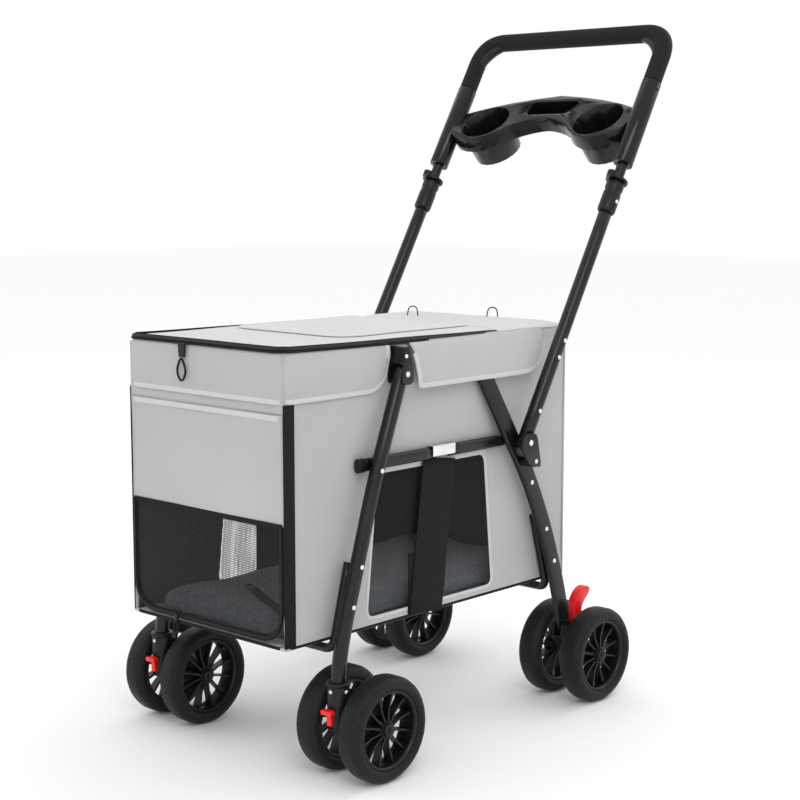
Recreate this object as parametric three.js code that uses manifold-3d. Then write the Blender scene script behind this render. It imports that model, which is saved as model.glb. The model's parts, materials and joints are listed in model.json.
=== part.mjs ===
// Folding pet stroller: a fabric cabin on a tube frame with four pairs of wheels.
// Millimetres, +Z up. -Y is the front (the door), +Y the rear (the handle), X = 0 the middle.
// The origin is on the floor, under the middle of the whole stroller's box.
import * as THREE from "three";
import * as BufferGeometryUtils from "three/addons/utils/BufferGeometryUtils.js";
import Module from "manifold-3d";

const wasm = await Module();
wasm.setup();

// ---- driving dimensions ----
const CABIN_WIDTH = 300;
const CABIN_LENGTH = 576;
const CABIN_HEIGHT = 381;
const CABIN_FLOOR = 182;
const CABIN_MIDDLE_Y = -122;
const PANEL = 3;
const SEAM_GAP = 0.4;
const HEM = 2;
const FLOOR_BOARD = 4;
const PAD_HEIGHT = 24;
const DOOR_TOP = 482;
const MESH_TOP = 342;
const LID_SEAM_Y = 10;
const DOOR_CORNER = 42;

const WHEEL_RADIUS = 70;
const TYRE_WIDTH = 38;
const RIM_RADIUS = 53;
const AXLE_RADIUS = 4;
const PAIR_SPACING = 76;
const TRACK = 352;
const WHEELBASE = 463;
const REAR_AXLE_Y = 163.5;
const CASTER_TRAIL = 42;

const BRACE_HEIGHT = 17;
const BRACE_THICKNESS = 9;
const CLIP_WALL = 1;
const CLIP_LENGTH = 46;
const FRONT_LEG_RADIUS = 9.75;
const REAR_LEG_DEPTH = 28;
const REAR_LEG_THICKNESS = 10;
const LOOP_RADIUS = 6;
const LOOP_Z = 170;
const PIN_RADIUS = 4;
const RUNNING_GAP = 0.35;
const FRAME_GAP = 0.5;

const FRONT_PIVOT = { y: -210, z: 519 };
const REAR_PIVOT = { y: -39, z: 512 };
const BRACE_Z = 404;
const BRACE_FRONT_Y = -261;
const BRACE_REAR_Y = 21;
const BRACE_MIDDLE_Y = -120;
const BRACE_NOSE = 24;
const BRACE_SPLIT = 14.5;

const HANDLE_PIVOT = { y: 26, z: 398 };
const HANDLE_LEAN = 30.5;
const HANDLE_LENGTH = 690;
const LOWER_TUBE_RADIUS = 10;
const UPPER_TUBE_RADIUS = 8;
const TUBE_WALL = 1.5;
const CLAMP_AT = 377;
const CLAMP_LENGTH = 50;
const UPPER_TUBE_START = 250;
const GRIP_BEND = 82;
const GRIP_RADIUS = 14;
const TRAY_SLEEVE = [458, 600];
const TRAY_SLEEVE_RADIUS = 15;
const CUP_RADIUS = 44;
const CUP_DEPTH = 58;
const CUP_WALL = 2.5;

const STRAP_WIDTH = 56;
const STRAP_THICKNESS = 1.6;

// ---- places worked out from them ----
const WALL_X = CABIN_WIDTH / 2;
const FRONT_Y = CABIN_MIDDLE_Y - CABIN_LENGTH / 2;
const REAR_Y = CABIN_MIDDLE_Y + CABIN_LENGTH / 2;
const CABIN_TOP = CABIN_FLOOR + CABIN_HEIGHT;
const PANEL_BOTTOM = CABIN_FLOOR + FLOOR_BOARD + SEAM_GAP;
const PANEL_TOP = CABIN_TOP - PANEL - SEAM_GAP;
const BRACE_X = WALL_X + FRAME_GAP + CLIP_WALL + SEAM_GAP + BRACE_THICKNESS / 2;
const OUTER_OF_BRACE = BRACE_X + BRACE_THICKNESS / 2 + FRAME_GAP;
const FRONT_LEG_X = OUTER_OF_BRACE + FRONT_LEG_RADIUS + 0.3;
const REAR_LEG_X = OUTER_OF_BRACE + REAR_LEG_THICKNESS / 2;
const HANDLE_X = REAR_LEG_X + REAR_LEG_THICKNESS / 2 + FRAME_GAP + LOWER_TUBE_RADIUS;
const STEM_X = TRACK / 2;
const FRONT_AXLE_Y = REAR_AXLE_Y - WHEELBASE;
const STEM_Y = FRONT_AXLE_Y - CASTER_TRAIL;
const HANDLE_TILT = -THREE.MathUtils.degToRad(HANDLE_LEAN);
const VALANCE_FRONT_Y = FRONT_Y - 3.5;
const GRIP_REAR_Y = HANDLE_PIVOT.y + HANDLE_LENGTH * Math.sin(-HANDLE_TILT) + GRIP_RADIUS;
const STROLLER_MIDDLE_Y = (VALANCE_FRONT_Y + GRIP_REAR_Y) / 2;

// ---- finishes ----
const finish = (color, roughness, metalness) => ({ color, roughness, metalness });
const STEEL = finish(0x2b2c2e, 0.45, 0.6);
const BLACK_PLASTIC = finish(0x161618, 0.4, 0);
const GLOSS_BLACK = finish(0x121316, 0.18, 0);
const CHROME = finish(0xd8dadd, 0.15, 1);
const TYRE = finish(0x1a1b1e, 0.7, 0);
const RED = finish(0xe01313, 0.4, 0);
const GREY_FABRIC = finish(0xc6c7c8, 0.9, 0);
const PALE_FABRIC = finish(0xdfe0e1, 0.9, 0);
const PAD_FABRIC = finish(0x3f434a, 0.95, 0);
const WEBBING = finish(0x1c1c1f, 0.95, 0);
const FOAM = finish(0x232427, 0.75, 0);

// ---- tools ----
const stroller = new THREE.Group();
stroller.position.y = -STROLLER_MIDDLE_Y;

function add(name, geometry, look, group = stroller) {
  const mesh = new THREE.Mesh(geometry, new THREE.MeshStandardMaterial(look));
  mesh.name = name;
  group.add(mesh);
  return mesh;
}

const SIDES = [
  { name: "left", sign: -1 },
  { name: "right", sign: 1 },
];

// a box given by its lowest and highest corners
function block(low, high) {
  const size = high.map((value, i) => value - low[i]);
  const middle = high.map((value, i) => (value + low[i]) / 2);
  return new THREE.BoxGeometry(...size).translate(...middle);
}

// a block on one side of the middle plane, between two distances from it
function sideBlock(sign, nearX, farX, lowYZ, highYZ) {
  const [x0, x1] = sign > 0 ? [nearX, farX] : [-farX, -nearX];
  return block([x0, ...lowYZ], [x1, ...highYZ]);
}

// an outline in Y and Z, thickened along X on one side of the middle plane
function sideSlab(sign, shape, nearX, farX, curveSegments = 6) {
  const depth = farX - nearX;
  const geometry = new THREE.ExtrudeGeometry(shape, { depth, bevelEnabled: false, curveSegments });
  const [x, y, z] = [new THREE.Vector3(0, 1, 0), new THREE.Vector3(0, 0, 1), new THREE.Vector3(1, 0, 0)];
  geometry.applyMatrix4(new THREE.Matrix4().makeBasis(x, y, z));
  return geometry.translate(sign > 0 ? nearX : -farX, 0, 0);
}

// a round bar along X between two distances from the middle plane
function sidePin(sign, nearX, farX, y, z, radius, sides = 12) {
  const bar = new THREE.CylinderGeometry(radius, radius, farX - nearX, sides);
  return bar.rotateZ(Math.PI / 2).translate((sign * (nearX + farX)) / 2, y, z);
}

function roundedOutline(points, radius) {
  const shape = new THREE.Shape();
  points.forEach((point, i) => {
    const [corner, before, after] = [point, points.at(i - 1), points[(i + 1) % points.length]];
    const here = new THREE.Vector2(...corner);
    const r = corner[2] ?? radius;
    const from = new THREE.Vector2(...before).sub(here).setLength(r).add(here);
    const to = new THREE.Vector2(...after).sub(here).setLength(r).add(here);
    if (i === 0) shape.moveTo(from.x, from.y);
    else shape.lineTo(from.x, from.y);
    if (r > 0.01) shape.quadraticCurveTo(here.x, here.y, to.x, to.y);
  });
  shape.closePath();
  return shape;
}

function circle(radius) {
  return new THREE.Shape().absarc(0, 0, radius, 0, 2 * Math.PI);
}

// a flat-sided oval: "across" is its size along X, "along" its size in the tube's own plane
function flatOval(across, along) {
  const shape = new THREE.Shape();
  const straight = (along - across) / 2;
  shape.absarc(0, straight, across / 2, 0, Math.PI);
  shape.absarc(0, -straight, across / 2, Math.PI, 2 * Math.PI);
  shape.closePath();
  return shape;
}

// a path of straight runs joined by round bends, sampled only where it turns
class BentPath extends THREE.Curve {
  constructor(points, bend, steps = 4) {
    super();
    const corners = points.map((p) => new THREE.Vector3(...p));
    this.samples = [corners[0]];
    for (let i = 1; i < corners.length - 1; i++) {
      const towards = corners[i - 1].clone().sub(corners[i]).normalize();
      const onwards = corners[i + 1].clone().sub(corners[i]).normalize();
      const reach = bend * Math.tan((Math.PI - towards.angleTo(onwards)) / 2);
      const start = towards.multiplyScalar(reach).add(corners[i]);
      const end = onwards.multiplyScalar(reach).add(corners[i]);
      this.samples.push(...new THREE.QuadraticBezierCurve3(start, corners[i], end).getPoints(steps));
    }
    this.samples.push(corners.at(-1));
  }

  getPoint(t) {
    const place = t * (this.samples.length - 1);
    const i = Math.min(Math.floor(place), this.samples.length - 2);
    return this.samples[i].clone().lerp(this.samples[i + 1], place - i);
  }

  getPointAt(t) {
    return this.getPoint(t);
  }

  getTangentAt(t) {
    return this.getTangent(t);
  }
}

function sweep(section, points, bend = 20, curveSegments = 6, bendSteps = 4) {
  const extrudePath = new BentPath(points, bend, bendSteps);
  const steps = extrudePath.samples.length - 1;
  return new THREE.ExtrudeGeometry(section, { steps, extrudePath, curveSegments, bevelEnabled: false });
}

function ring(outer, inner) {
  const shape = circle(outer);
  shape.holes.push(new THREE.Path().absarc(0, 0, inner, 0, 2 * Math.PI, true));
  return shape;
}

// a straight piece of the given section standing on the XY plane
function upright(section, from, to, curveSegments = 6) {
  const geometry = new THREE.ExtrudeGeometry(section, { depth: to - from, bevelEnabled: false, curveSegments });
  return geometry.translate(0, 0, from);
}

function solid(geometry) {
  const bare = geometry.index ? geometry.toNonIndexed() : geometry.clone();
  bare.deleteAttribute("normal");
  bare.deleteAttribute("uv");
  const merged = BufferGeometryUtils.mergeVertices(bare, 1e-3);
  return new wasm.Manifold(
    new wasm.Mesh({
      numProp: 3,
      vertProperties: new Float32Array(merged.attributes.position.array),
      triVerts: new Uint32Array(merged.index.array),
    }),
  );
}

function shaped(manifold) {
  const mesh = manifold.getMesh();
  const geometry = new THREE.BufferGeometry();
  geometry.setAttribute("position", new THREE.BufferAttribute(mesh.vertProperties.slice(), 3));
  geometry.setIndex(new THREE.BufferAttribute(mesh.triVerts.slice(), 1));
  return geometry;
}

const joined = (...pieces) => pieces.map(solid).reduce((whole, piece) => whole.add(piece));
const cut = (whole, ...tools) => tools.map(solid).reduce((rest, tool) => rest.subtract(tool), whole);

// ---- cabin: stiff floor, pad and sewn panels ----
function cabinFloor() {
  add("floor_board", block([-WALL_X, FRONT_Y, CABIN_FLOOR], [WALL_X, REAR_Y, CABIN_FLOOR + FLOOR_BOARD]), GREY_FABRIC);
  const inset = PANEL + 4;
  const outline = roundedOutline(
    [
      [-WALL_X + inset, FRONT_Y + inset],
      [WALL_X - inset, FRONT_Y + inset],
      [WALL_X - inset, REAR_Y - inset],
      [-WALL_X + inset, REAR_Y - inset],
    ],
    30,
  );
  add("mattress_pad", upright(outline, PANEL_BOTTOM, PANEL_BOTTOM + PAD_HEIGHT, 4), PAD_FABRIC);
}

// the mesh window of a side panel, as corners in Y and Z
function windowCorners(grow) {
  const low = CABIN_FLOOR + 25 - grow;
  const high = CABIN_FLOOR + 208 + grow;
  const corners = [
    [BRACE_FRONT_Y - 1, low],
    [BRACE_REAR_Y - 21, low],
    [BRACE_REAR_Y - 39, high],
    [BRACE_FRONT_Y + 21, high],
  ];
  return corners.map(([y, z], i) => [y + (i === 0 || i === 3 ? -grow : grow), z, 14]);
}

function sidePanel({ name, sign }) {
  const front = FRONT_Y + PANEL + SEAM_GAP;
  const rear = REAR_Y - PANEL - SEAM_GAP;
  const corners = [
    [front, PANEL_BOTTOM],
    [rear, PANEL_BOTTOM],
    [rear, PANEL_TOP],
    [front, PANEL_TOP],
  ];
  const outline = roundedOutline(corners, 0);
  outline.holes.push(new THREE.Path(roundedOutline(windowCorners(0), 14).getPoints(4)));
  const fabric = sideSlab(sign, outline, WALL_X - PANEL, WALL_X, 4);
  const netting = sideSlab(sign, roundedOutline(windowCorners(HEM), 14), WALL_X - 2, WALL_X - 1, 4);
  add(`side_panel_${name}`, shaped(joined(fabric, netting)), GREY_FABRIC);
}

function endPanels() {
  const x = WALL_X - SEAM_GAP;
  add("rear_panel", block([-x, REAR_Y - PANEL, PANEL_BOTTOM], [x, REAR_Y, PANEL_TOP]), GREY_FABRIC);
  add("front_header", block([-x, FRONT_Y, DOOR_TOP + SEAM_GAP], [x, FRONT_Y + PANEL, PANEL_TOP]), GREY_FABRIC);
  const rearTop = block([-WALL_X, LID_SEAM_Y + SEAM_GAP, CABIN_TOP - PANEL], [WALL_X, REAR_Y, CABIN_TOP]);
  add("rear_top_panel", rearTop, PALE_FABRIC);
}

// the roll-up front door: fabric above, see-through mesh below
function frontDoor() {
  const x = WALL_X - SEAM_GAP;
  const doorShape = roundedOutline(
    [
      [-x, PANEL_BOTTOM, DOOR_CORNER],
      [x, PANEL_BOTTOM, DOOR_CORNER],
      [x, DOOR_TOP, 0],
      [-x, DOOR_TOP, 0],
    ],
    0,
  );
  const margin = 20;
  const meshCorners = (grow) => [
    [-x + margin - grow, PANEL_BOTTOM + margin - grow, DOOR_CORNER - margin],
    [x - margin + grow, PANEL_BOTTOM + margin - grow, DOOR_CORNER - margin],
    [x - margin + grow, MESH_TOP + grow, 0],
    [-x + margin - grow, MESH_TOP + grow, 0],
  ];
  doorShape.holes.push(new THREE.Path(roundedOutline(meshCorners(0), 0).getPoints(5)));
  const stand = (geometry, y) => geometry.rotateX(Math.PI / 2).translate(0, y, 0);
  const fabric = stand(upright(doorShape, 0, PANEL, 5), FRONT_Y + PANEL);
  const netting = stand(upright(roundedOutline(meshCorners(HEM), 0), 0, 1, 5), FRONT_Y + 2);
  add("front_door", shaped(joined(fabric, netting)), GREY_FABRIC);
}

function lidPanel() {
  add("lid_panel", block([-WALL_X, FRONT_Y, CABIN_TOP - PANEL], [WALL_X, LID_SEAM_Y, CABIN_TOP]), PALE_FABRIC);
}

// the wire loop that stiffens the cabin's top edge, open at the rear
function rimFrame() {
  const radius = 4;
  const x = WALL_X - PANEL - 1 - radius;
  const z = PANEL_TOP - 2 - radius;
  const rear = REAR_Y - PANEL - 2;
  const front = FRONT_Y + PANEL + 1 + radius;
  const route = [
    [-x, rear, z],
    [-x, front, z],
    [x, front, z],
    [x, rear, z],
  ];
  add("rim_frame", sweep(circle(radius), route, 25, 4, 4), STEEL);
}

// soft flaps that hang from the lid's edge
function valances() {
  const drop = 68;
  const low = CABIN_TOP - 2 - drop;
  const top = CABIN_TOP - 4;
  const near = WALL_X + 1.5;
  const far = near + 2;
  const rear = FRONT_PIVOT.y - 14;
  const outline = roundedOutline(
    [
      [-far, VALANCE_FRONT_Y, 6],
      [far, VALANCE_FRONT_Y, 6],
      [far, rear, 0],
      [near, rear, 0],
      [near, VALANCE_FRONT_Y + 2, 4],
      [-near, VALANCE_FRONT_Y + 2, 4],
      [-near, rear, 0],
      [-far, rear, 0],
    ],
    0,
  );
  add("front_valance", upright(outline, low, top, 3), GREY_FABRIC);
  for (const { name, sign } of SIDES) {
    const bulge = REAR_LEG_THICKNESS + 5;
    const thick = 2;
    const profile = new THREE.Shape();
    profile.moveTo(near, top);
    profile.quadraticCurveTo(near + bulge, top - 8, near + bulge, top - 34);
    profile.lineTo(near + bulge, low);
    profile.lineTo(near + bulge - thick, low);
    profile.lineTo(near + bulge - thick, top - 34);
    profile.quadraticCurveTo(near + bulge - thick, top - 12, near, top - 5);
    profile.closePath();
    const start = FRONT_PIVOT.y + 27;
    const length = 270;
    const flap = new THREE.ExtrudeGeometry(profile, { depth: length, bevelEnabled: false, curveSegments: 5 });
    flap.rotateX(Math.PI / 2);
    flap.translate(0, start + length, 0);
    if (sign < 0) flap.rotateZ(Math.PI).translate(0, 2 * start + length, 0);
    add(`side_valance_${name}`, flap, GREY_FABRIC);
  }
}

// ---- pivot brackets on the cabin's rim ----
const legTopX = (thickness) => WALL_X + 2.1 + thickness / 2;

function frontBracket({ name, sign }) {
  const { y, z } = FRONT_PIVOT;
  const near = WALL_X + 0.4;
  const middle = legTopX(2 * FRONT_LEG_RADIUS) + 2.5;
  const cheek = 2.5;
  const inner = near + cheek;
  const far = middle + FRONT_LEG_RADIUS + RUNNING_GAP + cheek;
  const outline = roundedOutline(
    [
      [y - 12, z - 14, 9],
      [y + 12, z - 14, 9],
      [y + 10, z + 12, 4],
      [y + 2, z + 36, 2],
      [y - 6, z + 36, 2],
    ],
    5,
  );
  const body = solid(sideSlab(sign, outline, near, far, 3));
  const slot = sideBlock(sign, inner, far - cheek, [y - 30, z - 30], [y + 30, z + FRONT_LEG_RADIUS + 5]);
  const pin = solid(sidePin(sign, near, far, y, z, PIN_RADIUS));
  add(`front_bracket_${name}`, shaped(cut(body, slot).add(pin)), BLACK_PLASTIC);
}

function rearBracket({ name, sign }) {
  const { y, z } = REAR_PIVOT;
  const near = WALL_X + 0.4;
  const plate = sideSlab(sign, roundedOutline([[y - 12, z - 12, 6], [y + 12, z - 12, 6], [y + 12, z + 26], [y - 12, z + 26]], 3), near, near + 1.4, 3);
  const pin = sidePin(sign, near, near + 1.7 + REAR_LEG_THICKNESS, y, z, PIN_RADIUS);
  add(`rear_bracket_${name}`, shaped(joined(plate, pin)), STEEL);
}

// ---- webbing that holds up the floor ----
function floorStrap() {
  const y0 = BRACE_MIDDLE_Y - 42;
  const low = CABIN_FLOOR - 0.4 - STRAP_THICKNESS;
  const near = WALL_X + 0.4;
  const far = near + STRAP_THICKNESS;
  const high = CABIN_FLOOR + 108;
  const outline = new THREE.Shape();
  outline.moveTo(-far, low);
  outline.lineTo(far, low);
  outline.lineTo(far, high);
  outline.lineTo(near, high);
  outline.lineTo(near, low + STRAP_THICKNESS);
  outline.lineTo(-near, low + STRAP_THICKNESS);
  outline.lineTo(-near, high);
  outline.lineTo(-far, high);
  outline.closePath();
  const band = upright(outline, 0, STRAP_WIDTH).rotateX(Math.PI / 2).translate(0, y0 + STRAP_WIDTH, 0);
  add("floor_strap", band, WEBBING);
  for (const { name, sign } of SIDES) {
    const inner = far + 0.4;
    const outer = inner + STRAP_THICKNESS;
    const top = BRACE_Z - BRACE_HEIGHT / 2 - 1;
    const piece = sideBlock(sign, inner, outer, [y0, CABIN_FLOOR + 2], [y0 + STRAP_WIDTH, top]);
    add(`strap_riser_${name}`, piece, WEBBING);
  }
}

// ---- front frame: two legs and the loop that carries the floor's front ----
function frontLegPath(sign) {
  const topX = legTopX(2 * FRONT_LEG_RADIUS) + 2.5;
  return [
    [sign * topX, FRONT_PIVOT.y + 4, FRONT_PIVOT.z + 11],
    [sign * topX, FRONT_PIVOT.y - 4, FRONT_PIVOT.z - 12],
    [sign * FRONT_LEG_X, BRACE_FRONT_Y + 9, BRACE_Z + 24],
    [sign * FRONT_LEG_X, BRACE_FRONT_Y - 9, BRACE_Z - 24],
    [sign * (STEM_X - 1), STEM_Y + 12, CABIN_FLOOR + 18],
    [sign * STEM_X, STEM_Y, CABIN_FLOOR - 32],
    [sign * STEM_X, STEM_Y, 2 * WHEEL_RADIUS - 36],
  ];
}

function frontLeg({ name, sign }) {
  const tube = solid(sweep(circle(FRONT_LEG_RADIUS), frontLegPath(sign), 26, 5, 2));
  const hole = sidePin(sign, WALL_X, STEM_X + 20, FRONT_PIVOT.y, FRONT_PIVOT.z, PIN_RADIUS + RUNNING_GAP);
  add(`front_leg_${name}`, shaped(cut(tube, hole)), STEEL);
}

// a loop: down beside one leg, under the floor and up beside the other
function floorLoop(name, upper, y) {
  const x = WALL_X + 0.8 + LOOP_RADIUS;
  const route = [
    [-x, upper.y, upper.z],
    [-x, y, LOOP_Z],
    [x, y, LOOP_Z],
    [x, upper.y, upper.z],
  ];
  add(name, sweep(circle(LOOP_RADIUS), route, 13, 4, 4), STEEL);
}

function floorLoops() {
  floorLoop("front_floor_loop", { y: STEM_Y + 39, z: CABIN_FLOOR + 99 }, STEM_Y + 10);
  floorLoop("rear_floor_loop", { y: REAR_AXLE_Y - 80, z: CABIN_FLOOR + 103 }, REAR_AXLE_Y - 46);
}

// ---- rear frame ----
function rearLegPath(sign) {
  const topX = legTopX(REAR_LEG_THICKNESS);
  return [
    [sign * topX, REAR_PIVOT.y - 9, REAR_PIVOT.z + 13],
    [sign * topX, REAR_PIVOT.y + 9, REAR_PIVOT.z - 13],
    [sign * REAR_LEG_X, BRACE_REAR_Y - 9, BRACE_Z + 14],
    [sign * (REAR_LEG_X + 1), BRACE_REAR_Y + 34, BRACE_Z - 52],
    [sign * (REAR_LEG_X + 4), REAR_AXLE_Y - 70, CABIN_FLOOR + 85],
    [sign * (STEM_X - 1), REAR_AXLE_Y - 45, CABIN_FLOOR],
    [sign * STEM_X, REAR_AXLE_Y - 27, WHEEL_RADIUS + 36],
  ];
}

function rearLeg({ name, sign }) {
  const section = flatOval(REAR_LEG_THICKNESS, REAR_LEG_DEPTH);
  const bar = solid(sweep(section, rearLegPath(sign), 40, 4, 3));
  const hole = sidePin(sign, WALL_X, OUTER_OF_BRACE + 6, REAR_PIVOT.y, REAR_PIVOT.z, PIN_RADIUS + RUNNING_GAP);
  add(`rear_leg_${name}`, shaped(cut(bar, hole)), STEEL);
}

const HINGE_FOOT = { y: HANDLE_PIVOT.y + 17, z: HANDLE_PIVOT.z - 25 };
const HINGE_NEAR = HANDLE_X - LOWER_TUBE_RADIUS + FRAME_GAP;
const HINGE_FAR = HANDLE_X + LOWER_TUBE_RADIUS + FRAME_GAP;

// the plate outside the handle tube, held off the leg by a foot below the pivot
function hingePlate({ name, sign }) {
  const { y, z } = HANDLE_PIVOT;
  const plateThickness = 3.5;
  const outline = roundedOutline(
    [
      [y - 19, z - 2, 8],
      [HINGE_FOOT.y - 16, HINGE_FOOT.z - 4, 8],
      [HINGE_FOOT.y + 9, HINGE_FOOT.z - 9, 7],
      [y + 20, z - 4, 9],
      [y + 15, z + 17, 9],
      [y - 14, z + 18, 9],
    ],
    8,
  );
  const plate = sideSlab(sign, outline, HINGE_FAR, HINGE_FAR + plateThickness, 3);
  const legFace = REAR_LEG_X + REAR_LEG_THICKNESS / 2 + 2.2;
  const foot = sidePin(sign, legFace, HINGE_FAR + 1, HINGE_FOOT.y - 4, HINGE_FOOT.z - 1, 7);
  const pin = sidePin(sign, HINGE_NEAR, HINGE_FAR + 1, y, z, PIN_RADIUS);
  add(`hinge_plate_${name}`, shaped(joined(plate, foot, pin)), BLACK_PLASTIC);
}

// ---- side braces: two halves that meet under the clip ----
function braces({ name, sign }) {
  const section = flatOval(BRACE_THICKNESS, BRACE_HEIGHT);
  const bar = (from, to) => upright(section, -to, -from, 4).rotateX(Math.PI / 2).translate(sign * BRACE_X, 0, BRACE_Z);
  const front = bar(BRACE_FRONT_Y - BRACE_NOSE, BRACE_MIDDLE_Y - BRACE_SPLIT);
  add(`brace_front_${name}`, front, STEEL);
  add(`brace_rear_${name}`, bar(BRACE_MIDDLE_Y + BRACE_SPLIT, BRACE_REAR_Y + 8), STEEL);
  const inner = [BRACE_THICKNESS / 2 + SEAM_GAP, BRACE_HEIGHT / 2 + SEAM_GAP];
  const low = BRACE_Z - BRACE_HEIGHT / 2 + 4;
  const from = BRACE_MIDDLE_Y - 23;
  const outer = sideBlock(
    sign,
    BRACE_X - inner[0] - CLIP_WALL,
    BRACE_X + inner[0] + CLIP_WALL,
    [from, low],
    [from + CLIP_LENGTH, BRACE_Z + inner[1] + CLIP_WALL],
  );
  const channel = sideBlock(
    sign,
    BRACE_X - inner[0],
    BRACE_X + inner[0],
    [from - 1, low - 1],
    [from + CLIP_LENGTH + 1, BRACE_Z + inner[1]],
  );
  add(`brace_clip_${name}`, shaped(cut(solid(outer), channel)), CHROME);
}

// ---- wheels, turned about an axis along X ----
function lathed(profile, segments) {
  const points = profile.map(([along, radius]) => new THREE.Vector2(radius, along));
  points.push(points[0].clone());
  return new THREE.LatheGeometry(points, segments).rotateZ(-Math.PI / 2);
}

const WHEEL_SEGMENTS = 20;

// one closed profile: bore, boss, thin web, rim and the tyre on it, with facets that touch the
// floor flat, so the radius is to the middle of a facet
function wheelShape() {
  const half = TYRE_WIDTH / 2;
  const bore = AXLE_RADIUS + RUNNING_GAP;
  const web = 3;
  const boss = 12;
  const right = [
    [half - 4, bore],
    [half - 4, boss],
    [web, boss],
    [web, RIM_RADIUS - 4],
    [half * 0.8, RIM_RADIUS],
    [half, WHEEL_RADIUS * 0.83],
    [half * 0.8, WHEEL_RADIUS * 0.94],
    [half * 0.4, WHEEL_RADIUS],
  ];
  const left = right.map(([along, radius]) => [-along, radius]);
  const reach = 1 / Math.cos(Math.PI / WHEEL_SEGMENTS);
  const profile = [...left, ...right.reverse()].map(([along, radius]) => [along, radius * reach]);
  return lathed(profile, WHEEL_SEGMENTS).rotateX(Math.PI / WHEEL_SEGMENTS);
}

function wheelPair(where, { name, sign }, axleY) {
  for (const [place, step] of [["inner", -1], ["outer", 1]]) {
    const x = sign * (STEM_X + (step * PAIR_SPACING) / 2);
    add(`${where}_wheel_${name}_${place}`, wheelShape().translate(x, axleY, WHEEL_RADIUS), TYRE);
  }
}

// the steel axle is pressed into its housing
function pressedAxle(sign, axleY) {
  const reach = PAIR_SPACING / 2 + TYRE_WIDTH / 2 - 2;
  return solid(sidePin(sign, STEM_X - reach, STEM_X + reach, axleY, WHEEL_RADIUS, AXLE_RADIUS));
}

// ---- caster housings, swivel locks, rear housings and brake pedals ----
const HOUSING_HALF = 11;

function casterHousing({ name, sign }) {
  const x = sign * STEM_X;
  const top = 2 * WHEEL_RADIUS - 8;
  const socketFloor = 2 * WHEEL_RADIUS - 38;
  const socketRadius = 14.5;
  const socket = new THREE.CylinderGeometry(socketRadius, socketRadius, top - 72, 16).rotateX(Math.PI / 2);
  socket.translate(x, STEM_Y, (top + 72) / 2);
  const arm = roundedOutline(
    [
      [STEM_Y + 2, WHEEL_RADIUS + 4, 3],
      [FRONT_AXLE_Y - 6, WHEEL_RADIUS - 13, 8],
      [FRONT_AXLE_Y + 14, WHEEL_RADIUS - 9, 9],
      [FRONT_AXLE_Y + 9, WHEEL_RADIUS + 16, 9],
      [STEM_Y + 10, top - 6, 3],
    ],
    6,
  );
  const fork = sideSlab(sign, arm, STEM_X - HOUSING_HALF, STEM_X + HOUSING_HALF, 3);
  const bore = FRONT_LEG_RADIUS + RUNNING_GAP;
  const well = new THREE.CylinderGeometry(bore, bore, 60, 16).rotateX(Math.PI / 2);
  well.translate(x, STEM_Y, socketFloor + 30);
  const lockSlot = block([x - 5.4, STEM_Y - 20, 74], [x + 5.4, STEM_Y - 11.2, 2 * WHEEL_RADIUS - 39]);
  const body = cut(joined(socket, fork), well, lockSlot).add(pressedAxle(sign, FRONT_AXLE_Y));
  add(`caster_housing_${name}`, shaped(body), BLACK_PLASTIC);
}

// a T-shaped tab in the front of the caster: its stem slides in the slot, its bar is the thumb grip
function swivelLock({ name, sign }) {
  const x = sign * STEM_X;
  const top = 2 * WHEEL_RADIUS - 40;
  const stem = block([x - 4, STEM_Y - 18, 79], [x + 4, STEM_Y - 11.6, top]);
  const bar = block([x - 9, STEM_Y - 24, top - 6], [x + 9, STEM_Y - 15.2, top]);
  add(`swivel_lock_${name}`, shaped(joined(stem, bar)), RED);
}

function rearHousing({ name, sign }) {
  const outline = roundedOutline(
    [
      [REAR_AXLE_Y - 44, WHEEL_RADIUS + 30, 6],
      [REAR_AXLE_Y - 18, WHEEL_RADIUS - 10, 10],
      [REAR_AXLE_Y + 12, WHEEL_RADIUS - 14, 9],
      [REAR_AXLE_Y + 16, WHEEL_RADIUS + 14, 9],
      [REAR_AXLE_Y + 2, WHEEL_RADIUS + 36, 6],
      [REAR_AXLE_Y - 42, WHEEL_RADIUS + 50, 6],
    ],
    6,
  );
  const body = solid(sideSlab(sign, outline, STEM_X - HOUSING_HALF, STEM_X + HOUSING_HALF, 3));
  const socket = sideBlock(
    sign,
    STEM_X - REAR_LEG_THICKNESS / 2 - 1.4,
    STEM_X + REAR_LEG_THICKNESS / 2 + 1,
    [REAR_AXLE_Y - 60, WHEEL_RADIUS + 29],
    [REAR_AXLE_Y - 9, WHEEL_RADIUS + 70],
  );
  const { y, z } = PEDAL_PIVOT;
  const slotHalf = PEDAL_HALF + 0.5;
  const cheekGap = sideBlock(sign, STEM_X - slotHalf, STEM_X + slotHalf, [y - 13, z - 11], [y + 30, z + 30]);
  const pin = solid(sidePin(sign, STEM_X - HOUSING_HALF, STEM_X + HOUSING_HALF, y, z, 2.5, 8));
  const axle = pressedAxle(sign, REAR_AXLE_Y);
  add(`rear_housing_${name}`, shaped(cut(body, socket, cheekGap).add(pin).add(axle)), BLACK_PLASTIC);
}

const PEDAL_PIVOT = { y: REAR_AXLE_Y + 3, z: WHEEL_RADIUS + 22 };
const PEDAL_HALF = 6.5;

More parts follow.
